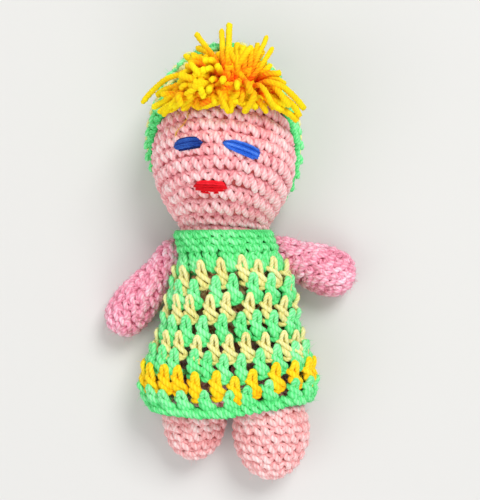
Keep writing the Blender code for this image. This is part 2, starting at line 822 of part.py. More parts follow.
def build_arms(bands, torso):
    """Arms on balls that sit in the torso's sides, through holes in the dress."""
    for name, arm in ARMS.items():
        y, z = DRESS_TOP - SHOULDER_DROP, arm["half_depth"] - FLAT_CUT
        center_x, edge = torso_edge(y, z)
        x = center_x + arm["side"] * (edge + arm["ball_radius"] - SHOULDER_SEAT)
        pivot = (x, y, z)
        along = (arm["side"] * math.sin(arm["splay"]), -math.cos(arm["splay"]), 0.0)
        across = (along[1], -along[0], 0.0)
        build_limb(name, arm, "yarn_pink", pivot, along, across, ARM_MOUTH)
        seat = arm["ball_radius"] + CLEARANCE
        cutter = ball_cutter("cut_seat_" + name, pivot, (seat, seat, seat))
        combine(torso, cutter, "DIFFERENCE")
        hole = arm["ball_radius"] + ARMHOLE_EASE
        cutters = [ball_cutter("cut_hole_" + name, pivot, (hole, hole, hole))]
        cutters += arm_room(name, arm, pivot)
        for band in bands[:ARMHOLE_BANDS]:
            for cutter in cutters:
                combine(band, cutter, "DIFFERENCE")


def build_legs(torso, fill):
    """Legs on balls that sit in the torso's lower end, inside the skirt."""
    for name, leg in LEGS.items():
        leg["ball_radius"], leg["narrow_share"] = LEG_BALL_RADIUS, 0.0
        foot_z = leg["half_depth"] - FLAT_CUT
        leg["drop_depth"] = DRESS_MID_Z - foot_z
        x = leg["side"] * (LEG_BALL_RADIUS + HIP_GAP / 2.0)
        pivot = (x, TORSO_BOTTOM - HIP_DROP, DRESS_MID_Z)
        down, out = (0.0, -1.0, 0.0), (leg["side"], 0.0, 0.0)
        build_limb(name, leg, "yarn_blush", pivot, down, out, LEG_MOUTH)
        seat = LEG_BALL_RADIUS + CLEARANCE
        cutter = ball_cutter("cut_seat_" + name, pivot, (seat, seat, seat))
        combine(torso, cutter, "DIFFERENCE")
        combine(fill, cutter, "DIFFERENCE")


def main():
    clear_scene()
    bands = build_dress()
    torso, torso_fill, _ = build_torso()
    build_arms(bands, torso)
    build_legs(torso, torso_fill)
    head, _ = build_head()
    build_bonnet(head)
    build_hair(head)
    build_satin("eye_right", EYE_RIGHT_SHARES, EYE_HALF_WIDTH, "yarn_blue", head)
    build_satin("eye_left", EYE_LEFT_SHARES, EYE_HALF_WIDTH, "yarn_blue", head)
    build_satin("mouth", MOUTH_SHARES, MOUTH_HALF_WIDTH, "yarn_red", head)


main()
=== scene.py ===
"""The crocheted doll, dressed in yarn: every stitch is a length of plied yarn.

Work is done in millimetres in the row frame and turned into metres at the mesh. A skin is
a surface addressed by level, which rises towards the head, and by f, which goes once round
from the back by the doll's right. Pixels are those of the photograph.
"""

import json
import math

import bpy
import numpy as np
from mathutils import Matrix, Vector


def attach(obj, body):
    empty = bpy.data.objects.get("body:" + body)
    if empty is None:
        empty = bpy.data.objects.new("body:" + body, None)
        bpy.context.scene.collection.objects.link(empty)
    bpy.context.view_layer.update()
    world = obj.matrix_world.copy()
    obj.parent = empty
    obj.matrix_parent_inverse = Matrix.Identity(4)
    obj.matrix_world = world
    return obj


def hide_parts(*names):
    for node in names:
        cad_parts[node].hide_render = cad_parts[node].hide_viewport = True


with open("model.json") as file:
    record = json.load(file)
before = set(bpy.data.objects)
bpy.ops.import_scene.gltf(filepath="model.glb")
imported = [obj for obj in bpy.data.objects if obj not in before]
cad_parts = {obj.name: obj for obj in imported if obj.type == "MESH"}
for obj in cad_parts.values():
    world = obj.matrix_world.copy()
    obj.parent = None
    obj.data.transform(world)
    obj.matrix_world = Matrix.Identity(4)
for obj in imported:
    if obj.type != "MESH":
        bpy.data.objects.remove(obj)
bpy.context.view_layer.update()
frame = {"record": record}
chance = np.random.default_rng(11)
TAU = 2 * math.pi
MM = 0.001
TINY = 1e-9

# sizes that the part's source gives
FLAT_CUT = 0.5
ROUND = 9.8
YOKE = 16.5
HEM = 12.6
DRESS_TOP = YOKE + 3.58 * ROUND
DRESS_LENGTH = YOKE + 7 * ROUND + HEM
DRESS_BOTTOM = DRESS_TOP - DRESS_LENGTH
DRESS_MID_Z = 23.5
DRESS_DEEP = 24.0
COLLAR_WIDE = 27.3
FLARE_WIDE = 21.5
FLARE = ((0, 0), (0.17, 0.04), (0.33, 0.33), (0.52, 0.52), (0.70, 0.85), (0.86, 1), (1, 0.91))
SIDE_SHARE = 0.33
SQUARENESS = 2.5
NECK = np.array([-3.0, DRESS_TOP + 5.0, 24.5])
NECK_WIDE, NECK_RADIUS = 24.3, 18.5
HEAD_HEIGHT, HEAD_WIDE, HEAD_DEEP = 92.5, 37.8, 34.0
BONNET_OFFSET = 3.9
HEAD_MID_Z = HEAD_DEEP + BONNET_OFFSET - FLAT_CUT
WIDEST_Y = NECK[1] + 0.375 * HEAD_HEIGHT
CROWN = HEAD_HEIGHT * 0.625
HEAD_CENTER = np.array([NECK[0], WIDEST_Y, HEAD_MID_Z])
TILT = math.radians(30.6)
RIM_POINT = np.array([NECK[0], NECK[1] + 0.77 * HEAD_HEIGHT, HEAD_MID_Z + 0.82 * HEAD_DEEP])
RIM_NORMAL = np.array([0.0, -math.sin(TILT), math.cos(TILT)])
NAPE_Y = NECK[1] + 0.09 * HEAD_HEIGHT

# the photograph's frame: a camera straight over a point of the table
CAMERA = np.array([5.73, 40.84 + 0.08 * ROUND, 600.0])
FRAME_MM = 286.5
IMAGE = (480, 500)


def unit(v):
    return v / np.maximum(np.linalg.norm(v, axis=-1, keepdims=True), TINY)


def smooth_step(low, high, value):
    t = np.clip((value - low) / (high - low), 0.0, 1.0)
    return t * t * (3.0 - 2.0 * t)


def hermite(table, share):
    """Smooth value of a table of (share, value) pairs, clamped at its ends."""
    x, y = np.array(table, float).T
    last = len(x) - 1
    after, before = np.minimum(np.arange(last + 1) + 1, last), np.maximum(np.arange(last + 1) - 1, 0)
    slope = (y[after] - y[before]) / (x[after] - x[before])
    share = np.clip(share, x[0], x[-1])
    i = np.clip(np.searchsorted(x, share, side="right") - 1, 0, last - 1)
    run = x[i + 1] - x[i]
    t = (share - x[i]) / run
    value = y[i] + (y[i + 1] - y[i]) * t * t * (3 - 2 * t)
    return value + run * (slope[i] * (t**3 - 2 * t * t + t) + slope[i + 1] * (t**3 - t * t))


def catmull(ctrl, count):
    """Smooth curves through (N, K, 3) control points, count points each."""
    first = 2 * ctrl[:, :1] - ctrl[:, 1:2]
    last = 2 * ctrl[:, -1:] - ctrl[:, -2:-1]
    full = np.concatenate([first, ctrl, last], axis=1)
    spans = ctrl.shape[1] - 1
    x = np.linspace(0, spans, count)
    i = np.minimum(x.astype(int), spans - 1)
    t = (x - i)[None, :, None]
    p0, p1, p2, p3 = full[:, i], full[:, i + 1], full[:, i + 2], full[:, i + 3]
    bend = (2 * p0 - 5 * p1 + 4 * p2 - p3) * t**2 + (3 * p1 - p0 - 3 * p2 + p3) * t**3
    return 0.5 * (2 * p1 + (p2 - p0) * t + bend)


def run_along(points):
    """Length from a line's first point to each of its points."""
    step = np.linalg.norm(np.diff(points, axis=0), axis=1)
    return np.concatenate([[0.0], np.cumsum(step)])


def points_at(want, run, points):
    """Places on a line at the wanted lengths along it."""
    return np.stack([np.interp(want, run, points[:, i]) for i in range(3)], 1)


def from_photo(px, py, z):
    """The place at height z that the camera sees at a pixel."""
    k = FRAME_MM / IMAGE[1] * (1.0 - np.asarray(z, float) / CAMERA[2])
    x = CAMERA[0] + (np.asarray(px, float) - IMAGE[0] / 2) * k
    y = CAMERA[1] + (IMAGE[1] / 2 - np.asarray(py, float)) * k
    return np.stack([x, y, np.broadcast_to(z, x.shape)], axis=-1)


# Skins


def section(center, wide, deep, power, right=(1, 0, 0), up=(0, 0, 1), count=120):
    """One closed ring: from the back round by the doll's right to the front."""
    a = TAU * np.arange(count) / count
    s, c = np.sin(a), np.cos(a)
    u = -wide * np.sign(s) * np.abs(s) ** (2.0 / power)
    w = -deep * np.sign(c) * np.abs(c) ** (2.0 / power)
    return np.asarray(center) + u[:, None] * np.asarray(right) + w[:, None] * np.asarray(up)


class Skin:
    """A surface of closed rings, with f even round each ring."""

    def __init__(self, levels, rings, count=144):
        order = np.argsort(levels)
        self.levels = np.asarray(levels, float)[order]
        self.count = count
        grid, girths = [], []
        for k in order:
            ring = np.vstack([rings[k], rings[k][:1]])
            run = run_along(ring)
            girths.append(run[-1])
            grid.append(points_at(np.arange(count) / count * run[-1], run, ring))
        self.points, self.girths = np.array(grid), np.array(girths)
        around = np.roll(self.points, -1, 1) - np.roll(self.points, 1, 1)
        along = np.gradient(self.points, self.levels, axis=0)
        self.normals = unit(np.cross(around, along))
        self.stretch = np.linalg.norm(along, axis=2)

    def mixed(self, values, level, f):
        """Values of the grid, read between its points."""
        level, f = np.broadcast_arrays(np.asarray(level, float), np.asarray(f, float))
        x = np.interp(level, self.levels, np.arange(len(self.levels)))
        i = np.minimum(x.astype(int), len(self.levels) - 2)
        y = np.mod(f, 1.0) * self.count
        j = y.astype(int) % self.count
        a, b = x - i, y - np.floor(y)
        n = (j + 1) % self.count
        if values.ndim == 3:
            a, b = a[..., None], b[..., None]
        low = values[i, j] * (1 - b) + values[i, n] * b
        high = values[i + 1, j] * (1 - b) + values[i + 1, n] * b
        return low * (1 - a) + high * a

    def at(self, level, f):
        """Places and outward normals."""
        return self.mixed(self.points, level, f), unit(self.mixed(self.normals, level, f))

    def per_mm(self, level, f):
        """Level that one millimetre up the surface is worth."""
        return 1.0 / np.maximum(self.mixed(self.stretch, level, f), 0.2)

    def around(self, level):
        return np.interp(level, self.levels, self.girths)


def left_after(skip, skin, level, f):
    """Those of a skin's spots that the test skip leaves."""
    place, _ = skin.at(level, f)
    keep = ~skip(place)
    return level[keep], f[keep]


def dress_section(y, inset):
    """Middle, half width and half depth of the part's dress at a height."""
    share = (DRESS_TOP - y) / DRESS_LENGTH
    wide = COLLAR_WIDE + FLARE_WIDE * float(hermite(FLARE, share))
    center_x = NECK[0] * (1.0 - float(smooth_step(0.0, SIDE_SHARE, share)))
    return center_x, wide - inset, DRESS_DEEP - inset


# the dress's edges in the photograph: height, then right and left
DRESS_EDGES = (
    (-46.5, -44.6, 44.0), (-40.9, -47.1, 46.3), (-35.4, -49.2, 48.1), (-27.2, -48.9, 47.6),
    (-18.9, -46.0, 45.9), (-10.7, -41.8, 42.4), (-2.4, -38.5, 39.0), (8.6, -35.9, 37.4),
    (19.6, -33.1, 35.9), (30.6, -29.8, 32.3), (41.6, -28.5, 27.2), (51.0, -31.2, 23.6),
)
DRESS_ROWS, DRESS_MARGIN = 110, 2
EDGE_SOFTENING = 9
FINE = 180


def dress_skin(inset):
    levels = np.linspace(DRESS_BOTTOM - DRESS_MARGIN, DRESS_TOP + DRESS_MARGIN, DRESS_ROWS)
    heights, *sides = np.array(DRESS_EDGES).T
    soft = np.ones(EDGE_SOFTENING) / EDGE_SOFTENING
    reach = EDGE_SOFTENING // 2
    exact = (np.interp(levels, heights, side) for side in sides)
    right, left = (np.convolve(np.pad(side, reach, "edge"), soft, "valid") for side in exact)
    rings = [
        section(((a + b) / 2, y, DRESS_MID_Z), (b - a) / 2 - inset, DRESS_DEEP - inset, SQUARENESS)
        for y, a, b in zip(levels, right, left)
    ]
    return Skin(levels, rings, FINE)


def head_section(y, offset):
    """Half width, half depth and middle height of the head, grown by an offset."""
    y = np.asarray(y, float)
    t = np.clip((y - NECK[1]) / (WIDEST_Y - NECK[1]), 0, 1)
    full = 1 - (1 - t) ** 2
    down = np.sqrt(np.maximum(0, 1 - ((NECK[1] - y) / (NECK_RADIUS + offset)) ** 2))
    up = np.sqrt(np.maximum(0, 1 - ((y - WIDEST_Y) / (CROWN + offset)) ** 2))
    sizes = []
    for neck, most in ((NECK_WIDE, HEAD_WIDE), (NECK_RADIUS, HEAD_DEEP)):
        size = np.where(y > WIDEST_Y, (most + offset) * up, neck + (most - neck) * full + offset)
        sizes.append(np.where(y < NECK[1], (neck + offset) * down, size))
    return *sizes, NECK[2] + (HEAD_MID_Z - NECK[2]) * full


LEAST_SECTION = 0.05
HEAD_REACH = 110.0
HALVINGS = 34


def outside_head(p, offset):
    wide, deep, middle = head_section(p[..., 1], offset)
    small = (wide < LEAST_SECTION) | (deep < LEAST_SECTION)
    wide, deep = np.maximum(wide, LEAST_SECTION), np.maximum(deep, LEAST_SECTION)
    return small | (((p[..., 0] - NECK[0]) / wide) ** 2 + ((p[..., 2] - middle) / deep) ** 2 > 1.0)


def plane_ring(start, right, up, offset, count=120):
    """Where a plane through start cuts the head, grown by an offset."""
    a = TAU * np.arange(count) / count
    way = -np.sin(a)[:, None] * right - np.cos(a)[:, None] * up
    near, far = np.zeros(count), np.full(count, HEAD_REACH)
    for _ in range(HALVINGS):
        mid = (near + far) / 2
        out = outside_head(start + way * mid[:, None], offset)
        far = np.where(out, mid, far)
        near = np.where(out, near, mid)
    return start + way * near[:, None]


# levels of the head's skin: heights of its front, closer together at the crown
HEAD_LEVELS = np.concatenate([np.linspace(41, 136, 96), np.linspace(136.4, 144, 12)])
AXIS_LEVELS = (41.0, 80.0)
LEAN_LEVELS = (45, 82)
LEAN_LEAST, LEAN_MORE = 0.12, 0.26
SIDE_LEAN = 0.085
FRONT_SHARE = 0.97


def head_skin(offset):
    """Rounds of the head lean back and a little to one side."""
    levels, rings = [], []
    for c in HEAD_LEVELS:
        back = LEAN_LEAST + LEAN_MORE * float(smooth_step(*LEAN_LEVELS, c))
        normal = unit(np.array([SIDE_LEAN, 1.0, -back]))
        right = unit(np.cross(normal, [0, 0, 1.0]))
        _, deep, middle = head_section(c, offset)
        z = float(np.interp(c, AXIS_LEVELS, (NECK[2], HEAD_MID_Z)))
        # the plane passes the front at height c: find its place on the head's axis
        start = np.array([NECK[0], c - back * (middle + deep * FRONT_SHARE - z), z])
        if not outside_head(start, offset):
            levels.append(c)
            rings.append(plane_ring(start, right, np.cross(right, normal), offset))
    return Skin(levels, rings, FINE)


BONNET_ROWS = 90
BONNET_FRONT = 4
POLE_SHARE = 0.93


def bonnet_skin(offset):
    """Rings parallel to the rim's plane, whose own level is 0."""
    axes = np.array([HEAD_WIDE, CROWN, HEAD_DEEP]) + offset
    size = math.sqrt(float(np.sum((axes * RIM_NORMAL) ** 2)))
    start_level = float(np.dot(RIM_POINT - HEAD_CENTER, RIM_NORMAL))
    right = np.array([-1.0, 0.0, 0.0])
    levels = np.linspace(BONNET_FRONT, -start_level - size * POLE_SHARE, BONNET_ROWS)
    rings = []
    for level in levels:
        start = HEAD_CENTER + (start_level + level) * axes**2 * RIM_NORMAL / size**2
        rings.append(plane_ring(start, right, np.cross(right, RIM_NORMAL), offset))
    return Skin(levels, rings, FINE)


LIMBS = {
    "arm_right": dict(side=-1, splay=38.0, length=53.7, ball=9.0, wide=12.4, deep=12.4,
                      narrow=0.16, widest=0.66, power=2.6),
    "arm_left": dict(side=1, splay=71.4, length=42.8, ball=10.6, wide=13.6, deep=12.6,
                     narrow=0.10, widest=0.62, power=2.4),
    "leg_right": dict(side=-1, splay=0.0, length=61.4, ball=12.5, wide=17.0, deep=16.0,
                      narrow=0.0, widest=0.63, power=2.0, spread=5.6),
    "leg_left": dict(side=1, splay=0.0, length=72.2, ball=12.5, wide=20.6, deep=17.2,
                     narrow=0.0, widest=0.64, power=1.9, spread=9.0),
}
SPREAD_SHARES = (0.0, 0.60)
FALL_SHARES = (0.38, 0.80)


def limb_line(name):
    """A limb's pivot, which is its joint's place in the frame, and its direction."""
    joints = frame["record"]["behaviour"]["joints"]
    pivot = next(joint["pos_m"] for joint in joints if joint["child"] == name)
    limb = LIMBS[name]
    a = math.radians(limb["splay"])
    return np.array(pivot) / MM, np.array([limb["side"] * math.sin(a), -math.cos(a), 0.0])


def limb_skin(name, inset):
    """Rings from the ball's far side down to the limb's end; a leg falls and spreads."""
    limb = LIMBS[name]
    pivot, along = limb_line(name)
    leg = name.startswith("leg")
    right = np.cross(-along, [0, 0, 1.0])
    out = np.array([limb["side"] if leg else 0, 0, 0])
    drop = DRESS_MID_Z - (limb["deep"] - FLAT_CUT) if leg else 0.0
    length, ball = limb["length"] - inset, limb["ball"] - inset
    widest = limb["widest"] * limb["length"]
    low = -ball * np.cos(np.linspace(0.25, math.pi / 2, 14))
    mid = np.linspace(0, widest, 40)[1:]
    end = widest + (length - widest) * np.sin(np.linspace(0, math.pi / 2 - 0.12, 40))[1:]
    levels, rings = [], []
    for s in np.concatenate([low, mid, end]):
        if s < 0:
            sizes = [math.sqrt(ball**2 - s * s)] * 2
        elif s <= widest:
            full = float(smooth_step(limb["narrow"], limb["widest"], s / limb["length"]))
            sizes = [limb["ball"] + (limb[k] - limb["ball"]) * full - inset for k in ("wide", "deep")]
        else:
            t = (s - widest) / (length - widest)
            taper = (1.0 - t ** limb["power"]) ** (1.0 / limb["power"])
            sizes = [(limb[k] - inset) * taper for k in ("wide", "deep")]
        share = max(s, 0.0) / limb["length"]
        spread = limb.get("spread", 0.0) * float(smooth_step(*SPREAD_SHARES, share))
        fall = drop * float(smooth_step(*FALL_SHARES, share))
        center = pivot + along * s + out * spread - np.array([0, 0, fall])
        rings.append(section(center, *sizes, 2.0, right))
        levels.append(-s)
    return Skin(levels, rings)


# Yarn


def wall_quads(index):
    """Faces between neighbouring rings of point numbers, (..., rings, sides)."""
    after = np.roll(index, -1, -1)
    corners = [index[..., :-1, :], after[..., :-1, :], after[..., 1:, :], index[..., 1:, :]]
    return np.stack(corners, -1)


def cap_quads(rings, turned):
    """Faces that close rings of point numbers, (N, sides)."""
    sides = rings.shape[1]
    k = np.arange(sides // 2 - 1)
    corners = [rings[:, i].T for i in (k, k + 1, sides - 2 - k, (sides - 1 - k) % sides)]
    return np.stack(corners[::-1] if turned else corners, -1).reshape(-1, 4)


TABLE_GAP = 0.02
CENTER_LIFT = 0.85
FIBRE_SIDES = 4
FIBRE_POINTS = 4
# loose fibres stand out in the light: their high depth mark is a painted highlight
FIBRE_SHADE = 0.9


class Yarn:
    """Gathers tubes of plied yarn for one mesh."""

    def __init__(self):
        self.verts, self.quads, self.uvs, self.deep, self.seeds = [], [], [], [], []
        self.base = 0

    def add(self, paths, out, radius, sides=10, lobe=0.1, plies=3, lay=6.5, ends=0.35, deep=0, floor=True):
        """Tubes along paths (N, P, 3). The plies turn once in lay and stand out by lobe."""
        paths = np.array(paths, float)
        n, p, _ = paths.shape
        radius = np.broadcast_to(np.asarray(radius, float), (n, p)).copy()
        if floor:
            paths[..., 2] = np.maximum(paths[..., 2], radius * CENTER_LIFT)
        out = np.broadcast_to(out, paths.shape)
        if sides > FIBRE_SIDES:
            seed = np.concatenate([paths, out, radius[..., None]], -1)[:, 2:-2:2]
            self.seeds.append(seed.reshape(-1, 7))
        tangent = unit(np.gradient(paths, axis=1))
        side, frames = out[:, 0], []
        for i in range(p):
            t = tangent[:, i]
            side = unit(side - np.sum(side * t, 1, keepdims=True) * t)
            frames.append(side)
        o = np.stack(frames, 1)[:, :, None]
        b = np.cross(tangent[:, :, None], o)
        step = np.linalg.norm(np.diff(paths, axis=1), axis=2)
        run = np.concatenate([np.zeros((n, 1)), np.cumsum(step, 1)], 1)
        radius[:, [0, -1]] *= ends
        a = TAU * np.arange(sides) / sides
        start = chance.uniform(0, TAU, (n, 1, 1))
        swirl = plies * (a - TAU * run[..., None] / lay) + start
        r = (radius[..., None] * (1 + lobe * np.cos(swirl)))[..., None]
        rings = paths[:, :, None] + r * (np.cos(a)[:, None] * o + np.sin(a)[:, None] * b)
        if floor:
            rings[..., 2] = np.maximum(rings[..., 2], TABLE_GAP)
        index = self.base + np.arange(n * p * sides).reshape(n, p, sides)
        caps = np.concatenate([cap_quads(index[:, 0], True), cap_quads(index[:, -1], False)])
        self.quads += [wall_quads(index).reshape(-1, 4), caps]
        u = np.broadcast_to((run / lay)[..., None], (n, p, sides))
        v = np.broadcast_to(np.arange(sides) / sides - start / (TAU * plies), (n, p, sides))
        w = v + 1.0 / sides
        here, on = np.s_[:, :-1], np.s_[:, 1:]
        corners = [(u[here], v[here]), (u[here], w[here]), (u[on], w[on]), (u[on], v[on])]
        self.uvs.append(np.moveaxis(np.array(corners), (0, 1), (-2, -1)).reshape(-1, 2))
        self.uvs.append(np.zeros((caps.size, 2)))
        self.verts.append(rings.reshape(-1, 3))
        # deep: the depth mark that the material turns into painted shade and painted highlight
        self.deep.append(np.repeat(np.broadcast_to(deep, (n, p)).ravel(), sides))
        self.base += n * p * sides

    def fuzz(self, count, low=1.0, high=3.0, radius=0.058):
        """Loose fibres that stand off the strands."""
        seeds = np.concatenate(self.seeds)
        seeds = seeds[chance.integers(0, len(seeds), count)]
        place, out, r = seeds[:, None, :3], seeds[:, None, 3:6], seeds[:, None, 6:]
        way = unit(out + chance.normal(0, 0.75, out.shape))
        bend = chance.normal(0, 0.55, out.shape)
        length = chance.uniform(low, high, (count, 1, 1)) * chance.uniform(0.4, 1.0, (count, 1, 1))
        t = np.linspace(0, 1, FIBRE_POINTS)[None, :, None]
        paths = place + way * (0.7 * r + length * t) + bend * length * t * t
        self.add(paths, out[:, :1], radius, FIBRE_SIDES, lobe=0.0, ends=0.5, deep=FIBRE_SHADE)

    def piece(self, name, material, body, nodes, slot):
        joined = (np.concatenate(part) for part in (self.verts, self.quads, self.uvs, self.deep))
        return make_piece(name, material, body, nodes, slot, *joined)


def add_object(name, data):
    made = bpy.data.objects.new(name, data)
    bpy.context.scene.collection.objects.link(made)
    return made


def make_piece(name, material, body, nodes, slot, verts, quads, uvs=None, deep=None):
    """A mesh of four-sided faces that rides on a body. uvs and deep shade its yarn."""
    mesh = bpy.data.meshes.new(name)
    mesh.vertices.add(len(verts))
    mesh.vertices.foreach_set("co", (verts * MM).astype(np.float32).ravel())
    mesh.loops.add(quads.size)
    mesh.loops.foreach_set("vertex_index", quads.astype(np.int32).ravel())
    mesh.polygons.add(len(quads))
    mesh.polygons.foreach_set("loop_start", (np.arange(len(quads)) * 4).astype(np.int32))
    mesh.polygons.foreach_set("use_smooth", np.ones(len(quads), bool))
    uvs = np.zeros((quads.size, 2)) if uvs is None else uvs
    mesh.uv_layers.new(name="yarn").data.foreach_set("uv", uvs.astype(np.float32).ravel())
    deep = np.zeros(len(verts)) if deep is None else deep
    # the depth mark that the yarn materials turn into painted shade and painted highlight
    mesh.attributes.new("deep", "FLOAT", "POINT").data.foreach_set("value", deep.astype(np.float32))
    mesh.update(calc_edges=True)
    mesh.materials.append(material)
    made = add_object(name, mesh)
    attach(made, body)
    if nodes:
        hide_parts(*nodes)
    return made


def grid_piece(name, place, wanted, material, body, slot):
    """A thin sheet: the wanted faces of a closed grid of places."""
    quads = wall_quads(np.arange(place[..., 0].size).reshape(place.shape[:2]))[wanted]
    used, quads = np.unique(quads, return_inverse=True)
    return make_piece(name, material, body, [], slot, place.reshape(-1, 3)[used], quads.reshape(-1, 4))


CORE_ROWS, CORE_SIDES = 44, 64
CORE_LOWEST = 0.8


def core_piece(name, skin, material, body, nodes, slot):
    """A closed smooth body under the stitches."""
    rows = np.linspace(skin.levels[0], skin.levels[-1], CORE_ROWS)
    place, _ = skin.at(rows[:, None], np.arange(CORE_SIDES) / CORE_SIDES)
    place[..., 2] = np.maximum(place[..., 2], CORE_LOWEST)
    index = np.arange(CORE_ROWS * CORE_SIDES).reshape(1, CORE_ROWS, CORE_SIDES)
    quads = [wall_quads(index).reshape(-1, 4), cap_quads(index[:, 0], True), cap_quads(index[:, -1], False)]
    return make_piece(name, material, body, nodes, slot, place.reshape(-1, 3), np.concatenate(quads))


# Materials


def colour(hexed):
    value = [int(hexed[i : i + 2], 16) / 255 for i in (0, 2, 4)]
    return tuple(v / 12.92 if v < 0.04045 else ((v + 0.055) / 1.055) ** 2.4 for v in value) + (1.0,)


class Tree:
    """The nodes of a material or of the world."""

    def __init__(self, owner):
        owner.use_nodes = True
        self.nodes, self.links = owner.node_tree.nodes, owner.node_tree.links

    def fill(self, node, inputs):
        """Each input takes a value, or a link from another node's output."""
        for key, value in inputs.items():
            if isinstance(value, bpy.types.NodeSocket):
                self.links.new(value, node.inputs[key])
            else:
                node.inputs[key].default_value = value

    def add(self, kind, inputs=None, **settings):
        node = self.nodes.new("ShaderNode" + kind)
        for key, value in settings.items():
            setattr(node, key, value)
        self.fill(node, inputs or {})
        return node

    def sum(self, operation, *values):
        return self.add("Math", dict(enumerate(values)), operation=operation).outputs[0]

    def noise(self, vector, scale, detail):
        return self.add("TexNoise", {"Vector": vector, "Scale": scale, "Detail": detail}).outputs["Fac"]

    def ramp(self, value, stops):
        """Colours by value, from (position, colour) pairs."""
        node = self.add("ValToRGB", {0: value})
        marks = node.color_ramp.elements
        for mark, (position, hexed) in zip((marks[0], marks[1]), (stops[0], stops[-1])):
            mark.position = position
            mark.color = colour(hexed)
        for position, hexed in stops[1:-1]:
            marks.new(position).color = colour(hexed)
        return node.outputs["Color"]

    def surface(self, base, height, strength, distance, **shading):
        """Joins colour and bump to the shader, with the other values it takes."""
        bump = self.add("Bump", {"Height": height, "Strength": strength, "Distance": distance})
        values = {key.replace("_", " "): value for key, value in shading.items()}
        values.update({"Base Color": base, "Normal": bump.outputs["Normal"]})
        self.fill(self.nodes["Principled BSDF"], values)


# yarn: how fine its fibre streaks are along and across a ply, its uneven dye, the range of the depth marks
# that paint shade and highlight, where its three colours lie, and its bump; then the noise and colours of
# what lies under it
FIBRE_ALONG, FIBRE_ACROSS, FIBRE_DETAIL = 5.0, 26.0, 3.0
DYE_SCALE, DYE_DETAIL, DYE_GAIN = 90.0, 4.0, 0.5
DEEP_RANGE = {"From Min": -1.2, "From Max": 1.6}
COLOUR_SPOTS = (0.08, 0.5, 0.92)
GRAIN_STRENGTH, GRAIN_HEIGHT = 0.55, 0.00025
UNDER_SCALE, UNDER_DETAIL, UNDER_SPOTS = 420.0, 5.0, (0.35, 0.65)


def yarn_material(name, low, mid, high, sheen=0.25, plies=3, streak=0.42, shade=(-0.30, 0.12), twist=0.10):
    """Plied yarn: grooves between the plies, fibre streaks and uneven dye.

    The colour runs from low in a groove or deep in the fabric to high on its top: painted shade in the
    grooves and depths, and a painted highlight on top.
    """
    made = bpy.data.materials.new(name)
    tree = Tree(made)
    uv = tree.add("UVMap", uv_map="yarn").outputs["UV"]
    split = tree.add("SeparateXYZ", {0: uv}).outputs
    turn = tree.sum("SUBTRACT", split["Y"], split["X"])
    wave = tree.sum("COSINE", tree.sum("MULTIPLY", turn, TAU * plies))
    # streaks of fibre, long along the ply
    along = tree.sum("MULTIPLY", split["X"], FIBRE_ALONG)
    across = tree.sum("MULTIPLY", turn, FIBRE_ACROSS)
    fibre = tree.noise(tree.add("CombineXYZ", {0: along, 1: across}).outputs[0], 1.0, FIBRE_DETAIL)
    dye = tree.noise(tree.add("TexCoord").outputs["Object"], DYE_SCALE, DYE_DETAIL)
    # the depth mark: painted shade on low strands, painted highlight on high ones
    mark = tree.add("Attribute", attribute_name="deep").outputs["Fac"]
    limits = {"Value": mark, "To Min": shade[0], "To Max": shade[1], **DEEP_RANGE}
    height = tree.add("MapRange", limits).outputs[0]
    # painted shade in the grooves between the plies, through wave
    total = tree.sum("MULTIPLY_ADD", wave, twist, 0.5)
    for source, gain in ((fibre, streak), (dye, DYE_GAIN)):
        total = tree.sum("ADD", total, tree.sum("MULTIPLY_ADD", source, gain, -gain / 2))
    total = tree.sum("ADD", total, height)
    base = tree.ramp(total, list(zip(COLOUR_SPOTS, (low, mid, high))))
    grain = tree.sum("MULTIPLY_ADD", wave, 0.5, fibre)
    tree.surface(base, grain, GRAIN_STRENGTH, GRAIN_HEIGHT, Roughness=0.88, Sheen_Weight=sheen,
                 Sheen_Roughness=0.45, Specular_IOR_Level=0.25)
    return made


def core_material(name, low, high):
    """The under-layer of a fabric, seen between its stitches, in darker colours that paint the shade there.
    """
    made = bpy.data.materials.new(name)
    tree = Tree(made)
    noise = tree.noise(tree.add("TexCoord").outputs["Object"], UNDER_SCALE, UNDER_DETAIL)
    base = tree.ramp(noise, list(zip(UNDER_SPOTS, (low, high))))
    tree.surface(base, noise, 0.8, 0.0006, Roughness=1.0, Specular_IOR_Level=0.1)
    return made


SATIN = dict(sheen=0.0, plies=2, streak=1.1, twist=0.0)
HAIR = dict(sheen=0.0, shade=(-0.46, 0.18), twist=0.06)
# each yarn's three colours: its painted shade, its own colour and its painted highlight
MATERIALS = {
    "green": yarn_material("yarn_green_plied", "0e9438", "5fe886", "bcffca", sheen=0.12),
    "cream": yarn_material("yarn_cream_plied", "b29c3a", "eae08a", "fbfac8", sheen=0.1),
    "gold": yarn_material("yarn_gold_plied", "e88400", "ffcc00", "fff13c", sheen=0.03),
    "hair": yarn_material("yarn_hair_plied", "ff4c00", "ffcc00", "fffa14", **HAIR),
    "blush": yarn_material("yarn_blush_plied", "c0485a", "f4a8ac", "fff0ee", shade=(-0.34, 0.17)),
    "blush_leg": yarn_material("yarn_blush_leg", "c85c60", "f6b0b0", "fff0ee", shade=(-0.32, 0.17)),
    "pink": yarn_material("yarn_pink_plied", "bc4062", "f49eb6", "ffeaf4", shade=(-0.36, 0.17)),
    # brown-orange rather than the torso's pink: painted shade and warm bounce light in the dress's gaps
    "under": yarn_material("yarn_torso_painted_shade", "bc6a3c", "f4b488", "ffdcb8", sheen=0.05),
    "blue": yarn_material("yarn_blue_satin", "06267c", "1c60da", "86b8ff", **SATIN),
    # a darker copy of the blue for the eye that lies in shade: painted shade
    "blue_painted_shade": yarn_material("yarn_satin_blue_painted_shade", "020c3a", "10348c", "4a84e6", **SATIN),
    "red": yarn_material("yarn_red_satin", "b0000a", "f80a20", "ff5060", **SATIN),
}
